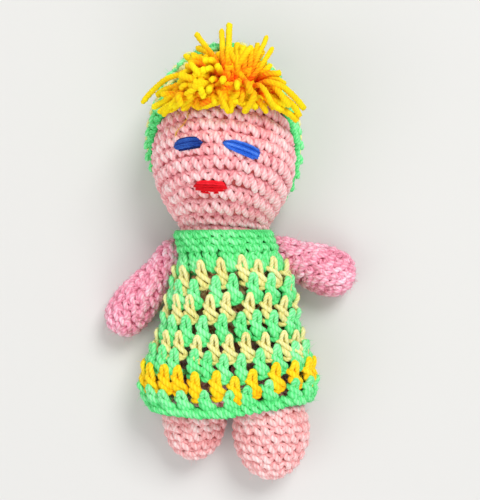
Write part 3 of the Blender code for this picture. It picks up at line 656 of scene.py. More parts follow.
# darker copies of the yarn colours for the layers under the stitches: painted shade; the net is the dress's
# green in shadow
CORES = {
    "blush": core_material("under_blush", "b84c4a", "d87c76"),
    "leg": core_material("under_leg", "b85850", "d8867e"),
    "pink": core_material("under_pink", "b04a68", "d6738c"),
    "green": core_material("under_green", "0f5a26", "1c7a38"),
    "body": core_material("under_body_painted_shade", "b47048", "e0a478"),
    "net": core_material("under_net", "3c8446", "5eaa62"),
}

# Stitches: each pattern is a line of (right, up, out) points

# single crochet, in shares of a stitch and a round; its two legs and the loop on top
SC_LEFT = ((-0.60, 0.50, -0.9), (-0.52, 0.36, 0.3), (-0.32, 0.13, 1.05), (-0.06, -0.12, 1.15),
    (0.16, -0.33, 0.6), (0.26, -0.50, -0.8))
SC_RIGHT = ((0.46, 0.58, -1.1), (0.42, 0.42, 0.0), (0.38, 0.18, 0.55), (0.34, -0.06, 0.6),
    (0.30, -0.28, 0.2), (0.28, -0.48, -0.9))
SC_TOP = ((-0.5, 0.52, -0.4), (-0.25, 0.48, 0.2), (0.0, 0.44, 0.35), (0.25, 0.48, 0.2),
    (0.5, 0.52, -0.4))
# one double crochet, in mm: its loop over the round above, then the wrap that turns into the foot
DC_LOOP = ((-1.0, -2.0, -0.6), (-1.2, 0.6, 0.8), (-1.2, 3.2, 2.1), (-0.95, 5.6, 3.6),
    (-0.35, 7.0, 3.7), (0.35, 7.0, 3.7), (0.95, 5.5, 3.6), (1.25, 2.9, 2.1),
    (1.5, 0.2, 1.0), (1.9, -2.2, 0.2), (2.2, -4.2, -0.6))
DC_WRAP = ((-3.1, 3.2, -1.4), (-2.8, 2.5, 0.3), (-1.6, 1.1, 1.9), (0.3, -0.7, 2.4),
    (2.1, -2.3, 1.8), (3.5, -3.5, 0.8), (3.9, -4.6, 0.0), (3.4, -5.9, 0.1),
    (2.0, -7.0, 0.4), (0.2, -7.6, 0.3), (-1.2, -7.2, -0.2), (-1.9, -6.2, -1.2))
DC_FILL = ((-1.9, -0.6, 0.3), (-1.4, -2.2, 1.3), (-0.1, -4.0, 1.4), (1.3, -5.4, 0.7),
    (2.5, -6.1, -0.6))
DC_CORE = ((0.1, 4.6, 0.2), (0.2, 1.5, -0.2), (0.5, -2.5, -0.4), (0.8, -6.0, -0.8))
# the broad front of a double crochet that nothing is worked over, in mm
DC_YOKE = (
    ((-1.2, -1.0, -0.4), (-1.6, 1.2, 0.8), (-1.5, 3.4, 1.2), (-0.6, 5.7, 1.0), (0.7, 5.7, 1.0),
    (1.6, 3.2, 1.2), (2.2, 0.8, 1.2), (3.0, -1.6, 0.5)),
    ((-3.4, 3.2, -0.9), (-2.8, 2.6, 0.6), (-1.2, 1.0, 1.7), (1.0, -1.2, 1.8), (3.2, -3.0, 1.3),
    (4.8, -4.2, -0.5)),
    ((-3.6, 0.4, -0.9), (-2.9, -0.4, 0.6), (-1.4, -1.8, 1.5), (0.6, -3.6, 1.5), (2.6, -4.9, 1.0),
    (4.2, -5.4, -0.7)),
    ((-4.0, -3.0, -0.9), (-2.8, -3.9, 0.5), (-1.0, -5.2, 0.9), (0.8, -6.2, 0.5), (2.2, -6.6, -0.7)),
)
# an edge stitch leans over the stitch beside it; in shares
EDGE_OVER = ((-0.75, 0.55, -0.8), (-0.6, 0.40, 0.5), (-0.2, 0.08, 1.5), (0.25, -0.28, 1.4),
    (0.62, -0.48, 0.4), (0.75, -0.52, -0.8))
EDGE_UNDER = ((-0.1, 0.62, -0.8), (0.05, 0.35, 0.3), (0.2, 0.0, 0.8), (0.3, -0.35, -0.2))


def work(yarn, skin, level, f, wide, tall, pattern, points, radius, jitter, lift=0.0, sides=10, lobe=0.12,
         shade=0.0, scatter=0.0, scale=(1, 1, 1)):
    """Works a pattern at many places of a skin.

    wide and tall turn its right and up into shares of a round and of a level. Its out is in
    mm and also paints the yarn: painted shade where it is low and a painted highlight where it is high,
    with shade and a scatter from stitch to stitch added.
    """
    shape = np.repeat(np.array(pattern)[None] * scale, len(level), 0)
    shape[..., :2] += chance.normal(0, jitter, shape[..., :2].shape)
    shape[..., 2] += chance.normal(0, jitter * 0.4, shape[..., 2].shape)
    wide, tall = (np.broadcast_to(size, (len(level),))[:, None] for size in (wide, tall))
    place, normal = skin.at(level[:, None] + shape[..., 1] * tall, f[:, None] + shape[..., 0] * wide)
    paths = catmull(place + normal * (shape[..., 2] + lift)[..., None], points)
    deep = catmull(shape[..., 2:], points)[..., 0] + shade
    if scatter:
        deep = deep + chance.normal(0, scatter, (len(level), 1))
    yarn.add(paths, catmull(normal, points), radius, sides, lobe=lobe, deep=deep)


STAGGER = 0.38


def single_rounds(yarn, skin, edges, pitch, radius, skip=None, sides=8, jitter=0.035, lift=0.0, points=9,
                  wild=1.0, tight=1.0, bulge=1.0):
    """Rounds of single crochet between a list of rising levels.

    wild scales the scatter of places, tight the height of a stitch and bulge its relief.
    """
    for row, (low, high) in enumerate(zip(edges[:-1], edges[1:])):
        mid = (low + high) / 2
        count = max(4, int(round(skin.around(mid) / pitch)))
        f = (np.arange(count) + 0.5 + STAGGER * row) / count
        f = f + chance.normal(0, 0.08 * wild, count) / count
        turn = chance.uniform(0, TAU, 2)
        sway = 0.05 * np.sin(3 * TAU * f + turn[0]) + 0.04 * np.sin(11 * TAU * f + turn[1])
        level = mid + (sway + chance.normal(0, 0.035 * wild, count)) * (high - low)
        if skip is not None:
            level, f = left_after(skip, skin, level, f)
        if not len(level):
            continue
        for pattern, thick, fewer in ((SC_LEFT, 1.12, 0), (SC_RIGHT, 0.98, 0), (SC_TOP, 0.9, 2)):
            work(yarn, skin, level, f, 1.0 / count, high - low, pattern, points, radius * thick, jitter,
                 lift, sides - fewer, 0.08, scatter=0.3, scale=(1, tight, bulge))


# a post's patterns, each with its points, its thickness and how much deeper its painted shade is; the core
# strand behind the post is painted dark
DOUBLE = (
    (DC_LOOP, 24, 0.92, 0.0), (DC_WRAP, 26, 1.08, 0.0),
    (DC_FILL, 9, 1.34, -0.3), (DC_CORE, 8, 1.3, -2.2),
)


def double_round(yarn, skin, level, f, tall, radius, scale, lift=0.0):
    """One round of double crochet posts at given places."""
    wide, up = scale / skin.around(level), skin.per_mm(level, f) * tall
    for pattern, points, thick, shade in DOUBLE:
        work(yarn, skin, level, f, wide, up, pattern, points, radius * thick, 0.12, lift, lobe=0.11,
             shade=shade)


SPIRAL_SIDES = 72


def close_end(yarn, skin, level, inner, radius):
    """The middle of a closed end: one strand that runs in a small wavy spiral."""
    around = np.arange(SPIRAL_SIDES + 1) / SPIRAL_SIDES
    ring, _ = skin.at(level, around)
    deeper, _ = skin.at(inner, around)
    center = ring[:-1].mean(0)
    way = unit(center - deeper[:-1].mean(0))
    size = float(np.linalg.norm(ring - center, axis=-1).mean())
    turns = max(1.6, size / (2.0 * radius))
    t = np.linspace(0.03, 1.0, int(46 * turns))
    spot = np.mod(turns * t, 1.0) * SPIRAL_SIDES
    low = spot.astype(int)
    side = ring[low] + (ring[low + 1] - ring[low]) * (spot - low)[:, None] - center
    wave = 0.35 * np.sin(2.4 * TAU * turns * turns * t * t)
    path = center + side * t[:, None] + way * (0.5 + wave + 0.16 * size * (1 - t**2))[:, None]
    yarn.add(path[None], way, radius, ends=0.6)


# Dress

TOP_RISE = 7.3
BACK_PITCH = 0.86
YOKE_SINK = 14.5
DRESS_IN = 3.0
# thickness and lift of each yarn in the dress
DRESS_YARN = {"cream": (1.2, 0.4), "green": (1.45, 0.0), "gold": (1.48, 0.1)}
# the posts' width, and the hem's, which are shorter and stand lower
POST_WIDE = 1.13
HEM_TALL, HEM_RISE, HEM_LEAST = 0.74, 1.9, 7.4
ROUNDS = ["cream_1", "green_1", "cream_2", "green_2", "cream_3", "green_3", "gold", "hem"]
# tops of the posts that the photograph shows, in its pixels
TOPS = {
    "yoke": ((175, 254), (184, 252), (196, 249), (211, 248), (228, 248), (243, 248), (257, 249),
             (270, 250)),
    "cream_1": ((176, 268), (186, 267), (203, 261), (222, 259), (243, 256), (258, 261), (272, 259),
                (284, 264)),
    "green_1": ((181, 282), (195, 281), (216, 277), (233, 275), (253, 274), (270, 275), (285, 279)),
    "cream_2": ((168, 297), (179, 296), (191, 296), (210, 295), (226, 293), (249, 294), (266, 294),
                (281, 297), (294, 296)),
    "green_2": ((174, 317), (187, 317), (203, 317), (222, 315), (241, 313), (256, 311), (272, 312),
                (288, 311)),
    "cream_3": ((158, 332), (168, 332), (180, 332), (197, 336), (214, 335), (229, 335), (246, 333),
                (265, 333), (283, 332), (294, 332)),
    "green_3": ((163, 347), (174, 350), (194, 350), (207, 352), (223, 355), (241, 355), (260, 350),
                (277, 346), (294, 343)),
    "gold": ((152, 366), (165, 366), (178, 367), (195, 373), (216, 372), (235, 377), (252, 370),
             (275, 364), (293, 362), (306, 360)),
    "hem": ((155, 386), (167, 392), (184, 393), (206, 396), (230, 393), (247, 387), (268, 381),
            (293, 380), (306, 378)),
}
# the hem's lower edge, in pixels
HEM_EDGE = ((146, 402), (153.6, 408), (163.6, 411), (178, 413.5), (192, 415), (212, 417.5), (223.6, 416.5),
            (240.7, 412.5), (263.6, 407.5), (289, 402.5), (306, 399))

dress = dress_skin(DRESS_IN)


def front_place(px, py, drop):
    """Level and f of the dress's front under pixels, a drop below them."""
    level, f = np.zeros(len(px)), np.full(len(px), 0.5)
    fine = np.linspace(0.27, 0.73, 400)
    for _ in range(12):
        place, _ = dress.at(level, f)
        want = from_photo(px, py, place[:, 2] + 2.0)
        level = want[:, 1] - drop
        lines, _ = dress.at(level[:, None], fine)
        f = np.array([np.interp(x, line[:, 0], fine) for x, line in zip(want[:, 0], lines)])
    return level, f


def posts_of(name):
    """Places of a round's posts: those seen, and an even rest round the back."""
    level, f = front_place(*np.array(TOPS[name], float).T, TOP_RISE)
    fine = np.linspace(f[0], f[0] + 1.0, 361)
    run = run_along(dress.at(level.mean(), fine)[0])
    seen = np.interp(f, fine, run)
    left = run[-1] - seen[-1]
    rest = max(2, int(round(left / (BACK_PITCH * (seen[-1] - seen[0]) / (len(f) - 1)))))
    share = np.arange(1, rest) / rest
    sag = np.sin(math.pi * share)
    even = DRESS_TOP - YOKE_SINK
    if name in ROUNDS:
        even = DRESS_TOP - YOKE - (ROUNDS.index(name) + 0.5) * ROUND
    more = (level[-1] + (level[0] - level[-1]) * share) * (1 - sag) + even * sag
    more_f = np.interp(seen[-1] + left * share, run, fine)
    return np.concatenate([level, more]), np.concatenate([f, more_f])


def in_armhole(place, grow=0.2):
    """True where an arm comes out of the dress."""
    hit = np.zeros(place.shape[:-1], bool)
    for name in ("arm_right", "arm_left"):
        pivot, along = limb_line(name)
        s = np.clip(np.sum((place - pivot) * along, -1), 0, LIMBS[name]["length"])
        away = np.linalg.norm(place - pivot - s[..., None] * along, axis=-1)
        hit |= away < LIMBS[name]["ball"] + grow
    return hit


def make_round(name):
    """One round of the dress; gives its posts' places."""
    kind = "green" if name == "hem" else name.split("_")[0]
    radius, lift = DRESS_YARN[kind]
    level, f = left_after(in_armhole, dress, *posts_of(name))
    tall = 1.0
    if name == "hem":
        tall = HEM_TALL
        level = np.maximum(level + HEM_RISE, DRESS_BOTTOM + HEM_LEAST)
    yarn = Yarn()
    double_round(yarn, dress, level, f, tall, radius, POST_WIDE, lift)
    yarn.fuzz(500)
    finish_dress(yarn, name + "_stitches", kind, [name])
    return level, f


def finish_dress(yarn, name, kind, nodes):
    nodes = ["dress_" + node for node in nodes]
    yarn.piece("dress_" + name, MATERIALS[kind], "torso", nodes, "yarn_" + kind)


def make_yoke():
    """The collar, three rounds of single crochet and a rope, and a round of double crochet."""
    yarn = Yarn()
    edges = [DRESS_TOP - down for down in (11.0, 7.2, 3.6, 0.2)]
    single_rounds(yarn, dress, edges, 4.7, 1.12, skip=in_armhole, lift=0.9, jitter=0.05)
    level, f = left_after(lambda place: in_armhole(place, -2.5), dress, *posts_of("yoke"))
    level = level + 1.6
    wide, up = 1.08 / dress.around(level), dress.per_mm(level, f)
    for pattern in DC_YOKE:
        work(yarn, dress, level, f, wide, up, pattern, 16, 1.56, 0.15, -0.7)
    yarn.fuzz(700)
    rope, out = dress.at(DRESS_TOP - 0.4, np.linspace(0, 1, 201)[None])
    yarn.add(rope + out * 1.1, out, 1.2, lobe=0.14, lay=5.0, ends=1.0)
    finish_dress(yarn, "yoke_stitches", "green", ["yoke"])


HEM_POINTS = 261
HEM_WAVES = 44


def hem_line():
    """The lower edge: where its line starts, and its levels once round from there."""
    level, f = front_place(*np.array(HEM_EDGE, float).T, 0.0)
    level = np.maximum(level, DRESS_BOTTOM + 0.5)
    fine = np.linspace(0, 1, HEM_POINTS)
    return f[0], fine, np.interp(fine + f[0], np.append(f, f[0] + 1), np.append(level, level[0]))


def make_hem_edge(first, fine, line):
    """A chained rope edge: leaning stitches between two wavy ropes."""
    yarn = Yarn()
    count = int(round(dress.around(float(line.mean())) / 4.5))
    f = (np.arange(count) + chance.normal(0, 0.07, count)) / count
    level = np.interp(np.mod(f - first, 1.0), fine, line) + 0.6 + chance.normal(0, 0.22, count)
    for pattern, radius in ((EDGE_OVER, 1.36), (EDGE_UNDER, 1.2)):
        work(yarn, dress, level, f, 1.0 / count, 3.8, pattern, 12, radius, 0.05, 0.1)
    for shift, rise, radius, phase in ((2.0, 0.2, 1.2, 1.0), (-0.6, 0.3, 1.45, 2.0)):
        wave = TAU * HEM_WAVES * fine + phase
        rope, out = dress.at((line + shift + 0.35 * np.sin(wave))[None], (fine + first)[None])
        yarn.add(rope + out * (rise + 0.3 * np.cos(wave))[None, :, None], out, radius, lobe=0.12, ends=1.0)
    yarn.fuzz(700)
    finish_dress(yarn, "hem_edge", "green", [])


NET_ROWS, NET_COLUMNS = 140, 300
# how deep the net lies under the yoke and elsewhere, and where the yoke's part ends
NET_DEPTHS, YOKE_NET = (0.6, 1.6), 17.0
# a hole's middle lies below the posts' places; POST_HALF is the half width of a post
HOLE_DROP, HOLE_HALF, POST_HALF = 0.4, 3.2, 2.3
WIDEST_GAP = 0.09


def make_net(posts, first, fine, line):
    """The backs of the stitches, behind the posts: open between neighbouring posts."""
    levels = np.linspace(DRESS_BOTTOM + 1.5, DRESS_TOP - 0.8, NET_ROWS)
    gl, gf = np.meshgrid(levels, np.arange(NET_COLUMNS) / NET_COLUMNS, indexing="ij")
    place, normal = dress.at(gl, gf)
    place = place - normal * np.where(gl > DRESS_TOP - YOKE_NET, *NET_DEPTHS)[..., None]
    place[..., 2] = np.maximum(place[..., 2], 0.6)
    gl, gf = gl[:-1], gf[:-1]
    hole = np.zeros(gl.shape, bool)
    for level, f in posts:
        order = np.argsort(np.mod(f, 1.0))
        level, f = level[order], np.mod(f, 1.0)[order]
        for height, before, after in zip(level, f, np.append(f[1:], f[0] + 1.0)):
            if after - before <= WIDEST_GAP:
                half = (after - before) / 2 - POST_HALF / dress.around(height)
                away = np.abs(np.mod(gf + 0.5 / NET_COLUMNS - (before + after) / 2 + 0.5, 1.0) - 0.5)
                hole |= (away < half) & (np.abs(gl - height + HOLE_DROP) < HOLE_HALF)
    hole &= ~in_armhole(place[:-1], 5.0)
    hole |= gl < np.interp(np.mod(gf - first, 1.0), fine[:-1], line[:-1]) + 0.6
    # its dark green is painted shade between the posts
    return grid_piece("dress_ground", place, ~hole, CORES["net"], "torso", "yarn_green")


posts = [make_round(name) for name in ROUNDS]
make_yoke()
hem = hem_line()
make_hem_edge(*hem)
ground = make_net(posts, *hem)

# Torso

TORSO_LEVELS = np.linspace(-8, 46.5, 40)
TORSO_IN = 6.7
TORSO_TOP, TORSO_LENGTH, TORSO_SLIM = 46.8, 54, 0.22


def torso_ring(y):
    center_x, wide, deep = dress_section(y, TORSO_IN)
    slim = 1.0 - TORSO_SLIM * float(smooth_step(0.2, 0.9, (TORSO_TOP - y) / TORSO_LENGTH))
    return section((center_x, y, DRESS_MID_Z), wide * slim, deep * slim, SQUARENESS)


body = Skin(TORSO_LEVELS, [torso_ring(y) for y in TORSO_LEVELS])
# the torso's brown-orange colours paint the shade and warm bounce light that the pink body shows between
# the stitches
torso = core_piece("torso_cover", body, CORES["body"], "torso", ["torso", "torso_stuffing"], "yarn_pink")
yarn = Yarn()
single_rounds(yarn, body, np.linspace(-6, 45, 10), 6.0, 1.35, sides=6, points=7)
yarn.piece("torso_stitches", MATERIALS["under"], "torso", [], "yarn_pink")
yarn = Yarn()
seam = section((NECK[0], DRESS_TOP - 3.7, NECK[2]), 22.2, 17.0, 2.0, count=121)[None]
yarn.add(seam, unit(seam - NECK), 0.8, 8, ends=1.0)
yarn.piece("neck_seam_yarn", MATERIALS["green"], "torso", ["neck_seam"], "yarn_green")

# Head

HEAD_IN = 1.8
HEAD_ROWS = [43.5, 49.0, 54.3, 61.1, 68.0, 75.3, 82.2, 88.8, 95.1, 101.3, 107.4, 113.5, 119.6, 125.6, 131.0]


# the rim's lower ends run behind the head: the heights between which it falls back, and how far, for
# the right side and for the left
RIM_FALLS = (((128.0, 110.0, 4.6), (108.0, 80.0, 13.0)), ((132.0, 114.0, 5.8), (86.0, 58.0, 10.0)))
RIM_MIDDLE = 12.0


def rim_back(place):
    """How far the rim lies behind its plane."""
    x, y = place[..., 0], place[..., 1]
    right, left = (sum(far * smooth_step(-a, -b, -y) for a, b, far in falls) for falls in RIM_FALLS)
    return right + (left - right) * smooth_step(-RIM_MIDDLE, RIM_MIDDLE, x)


def under_bonnet(place):
    behind = (place - RIM_POINT) @ RIM_NORMAL < -5.0 - rim_back(place)
    return behind & (place[..., 1] > NAPE_Y + 4.0)


head = head_skin(-HEAD_IN)
yarn = Yarn()
single_rounds(yarn, head, HEAD_ROWS, 5.2, 1.5, skip=under_bonnet, points=10, jitter=0.05, wild=0.6,
              tight=0.86, bulge=1.3)
yarn.fuzz(1450, 0.8, 2.4, 0.055)
yarn.piece("head_stitches", MATERIALS["blush"], "head", [], "yarn_blush")
head_core = core_piece("head_cover", head, CORES["blush"], "head", ["head", "head_stuffing"], "yarn_blush")


def on_face(px, py, rise):
    """Places a rise above the face that the camera sees at pixels."""
    z = np.full(len(px), 68.0)
    for _ in range(6):
        x, y, _ = from_photo(px, py, z + rise).T
        wide, deep, middle = head_section(y, 0.0)
        z = middle + deep * np.sqrt(1 - np.clip((x - NECK[0]) / wide, -1, 1) ** 2)
    return from_photo(px, py, z + rise)


# each patch of satin: start, end and half width in pixels, the shares of that width along it, how far it
# bows, and how many strands of what radius fill it
SATINS = {
    "eye_right": dict(start=(173.4, 147.0), end=(203.0, 142.2), half=5.4, bow=-1.2, strands=9, radius=0.60,
                      profile=((0, 0.7), (0.25, 1.0), (0.6, 1.0), (0.85, 0.8), (1, 0.6))),
    "eye_left": dict(start=(222.0, 142.2), end=(262.2, 157.2), half=5.6, bow=-1.8, strands=9, radius=0.60,
                     profile=((0, 0.35), (0.15, 0.7), (0.4, 1.0), (0.8, 1.0), (1, 0.7))),
    "mouth": dict(start=(192.8, 186.0), end=(228.4, 187.2), half=5.8, bow=0.5, strands=8, radius=0.62,
                  profile=((0, 0.85), (0.3, 0.95), (0.6, 1.0), (0.85, 0.75), (1, 0.45))),
}


def satin(node, material, slot):
    """Long embroidery strands side by side between two places of the photograph."""
    patch = SATINS[node]
    start, run = np.array(patch["start"]), np.subtract(patch["end"], patch["start"])
    across = np.array([-run[1], run[0]]) / np.linalg.norm(run)
    yarn = Yarn()
    order = chance.permutation(patch["strands"])
    for k in range(patch["strands"]):
        v = -1 + 2 * (k + 0.5) / patch["strands"]
        first = 0.10 * v**2 + chance.uniform(0, 0.05)
        last = 1 - 0.12 * v**2 - chance.uniform(0, 0.05)
        u = np.linspace(0.0, 1.0, 19)
        t = first + (last - first) * u
        hump = np.sin(math.pi * t)
        drift = chance.normal(0, 0.35) * hump + chance.normal(0, 0.4) * (t - 0.5)
        off = v * hermite(patch["profile"], t) * patch["half"] + drift + patch["bow"] * hump
        px, py = start[:, None] + run[:, None] * t + across[:, None] * off
        dome = 0.95 * math.sqrt(1 - v * v * 0.85) + 0.25 * (order[k] % 2)
        rise = 0.75 + dome * np.sin(math.pi * np.clip(u, 0.03, 0.97)) ** 0.4 - 2.2 * np.abs(2 * u - 1) ** 12
        yarn.add(on_face(px, py, rise)[None], (0, 0, 1), patch["radius"] * chance.uniform(0.85, 1.12),
                 lobe=0.09, plies=2, lay=9.0, deep=chance.uniform(-1.6, 1.8))
    yarn.fuzz(90, 0.5, 1.4, 0.05)
    yarn.piece(node + "_satin", material, "head", [node], slot)


# the eye on the doll's right lies in shade: its darker blue is painted shade
satin("eye_right", MATERIALS["blue_painted_shade"], "yarn_blue")
satin("eye_left", MATERIALS["blue"], "yarn_blue")
satin("mouth", MATERIALS["red"], "yarn_red")

# Bonnet

# each node's yarn and the level of its round; rows over the closed end are worked out
BONNET = (
    ("bonnet_rim", "green", -6.6),
    ("bonnet_round_cream_1", "cream", -15.0),
    ("bonnet_round_green", "green", -25.0),
    ("bonnet_round_cream_2", "cream", -35.0),
    ("bonnet_back", "green", None),
)
bonnet = bonnet_skin(BONNET_OFFSET - 3.4)


def bonnet_level(level, f):
    """Level moved back where the rim runs back, less so towards the crown."""
    moved = level
    for _ in range(4):
        place, _ = bonnet.at(moved, f)
        moved = level - rim_back(place) * np.clip(1 + level / 42.0, 0, 1)
    return moved


def bonnet_spots(count, level, shift=0.0, scatter=0.0, nape=5.0):
    """Even spots round a moved level, without those below the nape."""
    f = (np.arange(count) + shift) / count
    level = bonnet_level(np.full(count, level), f)
    if scatter:
        level = level + chance.normal(0, scatter, count)
    return left_after(lambda place: place[:, 1] <= NAPE_Y + nape, bonnet, level, f)


def back_levels():
    """Even rows over the closed end, where the levels crowd."""
    fine = np.linspace(-35.0, bonnet.levels.min() + 0.5, 80)
    middle = (fine[1:] + fine[:-1]) / 2
    worth = bonnet.per_mm(middle[:, None], np.arange(24) / 24).mean(1)
    run = np.cumsum(np.abs(np.diff(fine)) / worth)
    return np.interp(np.arange(9.5, run[-1] - 2.0, 8.0), run, middle)


def make_bonnet_round(number, node, kind, middle):
    yarn = Yarn()
    rim = node == "bonnet_rim"
    for k, mid in enumerate(back_levels() if middle is None else [middle]):
        count = max(6, int(round(float(bonnet.around(mid)) / 8.4)))
        level, f = bonnet_spots(count, mid - 0.4, 0.5 * ((number + k) % 2))
        if len(level):
            double_round(yarn, bonnet, level, f, 0.80 if rim else 0.95, 1.25, 1.05)
    if rim:
        # the edge: one round of single crochet
        count = int(round(float(bonnet.around(-1.4)) / 4.7))
        level, f = bonnet_spots(count, -0.9, scatter=0.2, nape=4.0)
        for pattern, radius in ((EDGE_OVER, 1.22), (EDGE_UNDER, 1.1), (SC_TOP, 1.0)):
            work(yarn, bonnet, level, f, 1.0 / count, 4.4, pattern, 12, radius, 0.07, 0.3)
    if node == "bonnet_back":
        last = bonnet.levels.min() + 0.4
        close_end(yarn, bonnet, last, last + 8.0, 1.35)
    yarn.fuzz(600)
    yarn.piece(node + "_stitches", MATERIALS[kind], "head", [node], "yarn_" + kind)


def make_bonnet_ground():
    """The thin fabric under the bonnet's stitches."""
    gl, gf = np.meshgrid(np.linspace(bonnet.levels[0], 0.0, 70), np.arange(144) / 144, indexing="ij")
    place, normal = bonnet.at(bonnet_level(gl, gf), gf)
    place = place - normal * 0.5
    place[..., 2] = np.maximum(place[..., 2], 0.7)
    wanted = place[:-1, :, 1] > NAPE_Y + 3.0
    # its dark green is painted shade between the stitches
    return grid_piece("bonnet_ground", place, wanted, CORES["green"], "head", "yarn_green")


for number, part in enumerate(BONNET):
    make_bonnet_round(number, *part)
bonnet_ground = make_bonnet_ground()

# Limbs

LIMB_IN = 1.7
LIMB_YARN = {
    "arm": dict(kind="pink", core="pink", slot="yarn_pink", height=4.5, fibres=1600,
                form=dict(pitch=4.4, radius=1.27, jitter=0.11, wild=2.6, tight=1.0, bulge=1.0)),
    "leg": dict(kind="blush_leg", core="leg", slot="yarn_blush", height=5.6, fibres=1200,
                form=dict(pitch=5.3, radius=1.46, jitter=0.07, wild=1.2, tight=0.9, bulge=1.2)),
}


def make_limb(name):
    cloth = LIMB_YARN[name[:3]]
    skin = limb_skin(name, LIMB_IN)
    run = np.concatenate([[0], np.cumsum(np.diff(skin.levels) * skin.stretch[:-1].mean(1))])
    rows = max(4, int(round(run[-1] / cloth["height"])))
    edges = np.interp(np.linspace(0, run[-1], rows + 1), run, skin.levels)
    yarn = Yarn()
    single_rounds(yarn, skin, edges, points=10, **cloth["form"])
    close_end(yarn, skin, skin.levels[0], -0.8 * LIMBS[name]["length"], cloth["form"]["radius"] * 1.05)
    yarn.fuzz(cloth["fibres"])
    yarn.piece(name + "_stitches", MATERIALS[cloth["kind"]], name, [], cloth["slot"])
    nodes = [name, name + "_stuffing"]
    core = core_piece(name + "_cover", skin, CORES[cloth["core"]], name, nodes, cloth["slot"])


for name in LIMBS:
    make_limb(name)


# Hair

LOCKS = ("hair_far_right", "hair_right", "hair_middle", "hair_left", "hair_far_left")
LOCK_EDGES = np.array([-0.6, -0.2, 0.2, 0.6]) * 21.5 + NECK[0]
BONNET_AXES = np.array([41.7, 61.7, 37.9])
STRAND_STEP = 0.75
STRAND_RADIUS = 1.5
STRAND_DRIFT = 0.05
ROOT_SCALE, ROOT_SINK, ROOT_THIN = 38.0, 1.2, 0.22
# depth mark of a strand's root, how much more its tip has, and the length that it takes: painted shade,
# orange and dark at the root, and a painted highlight towards the tip
ROOT_SHADE, TIP_SHADE, SHADE_RUN = -2.05, 3.95, 26.0
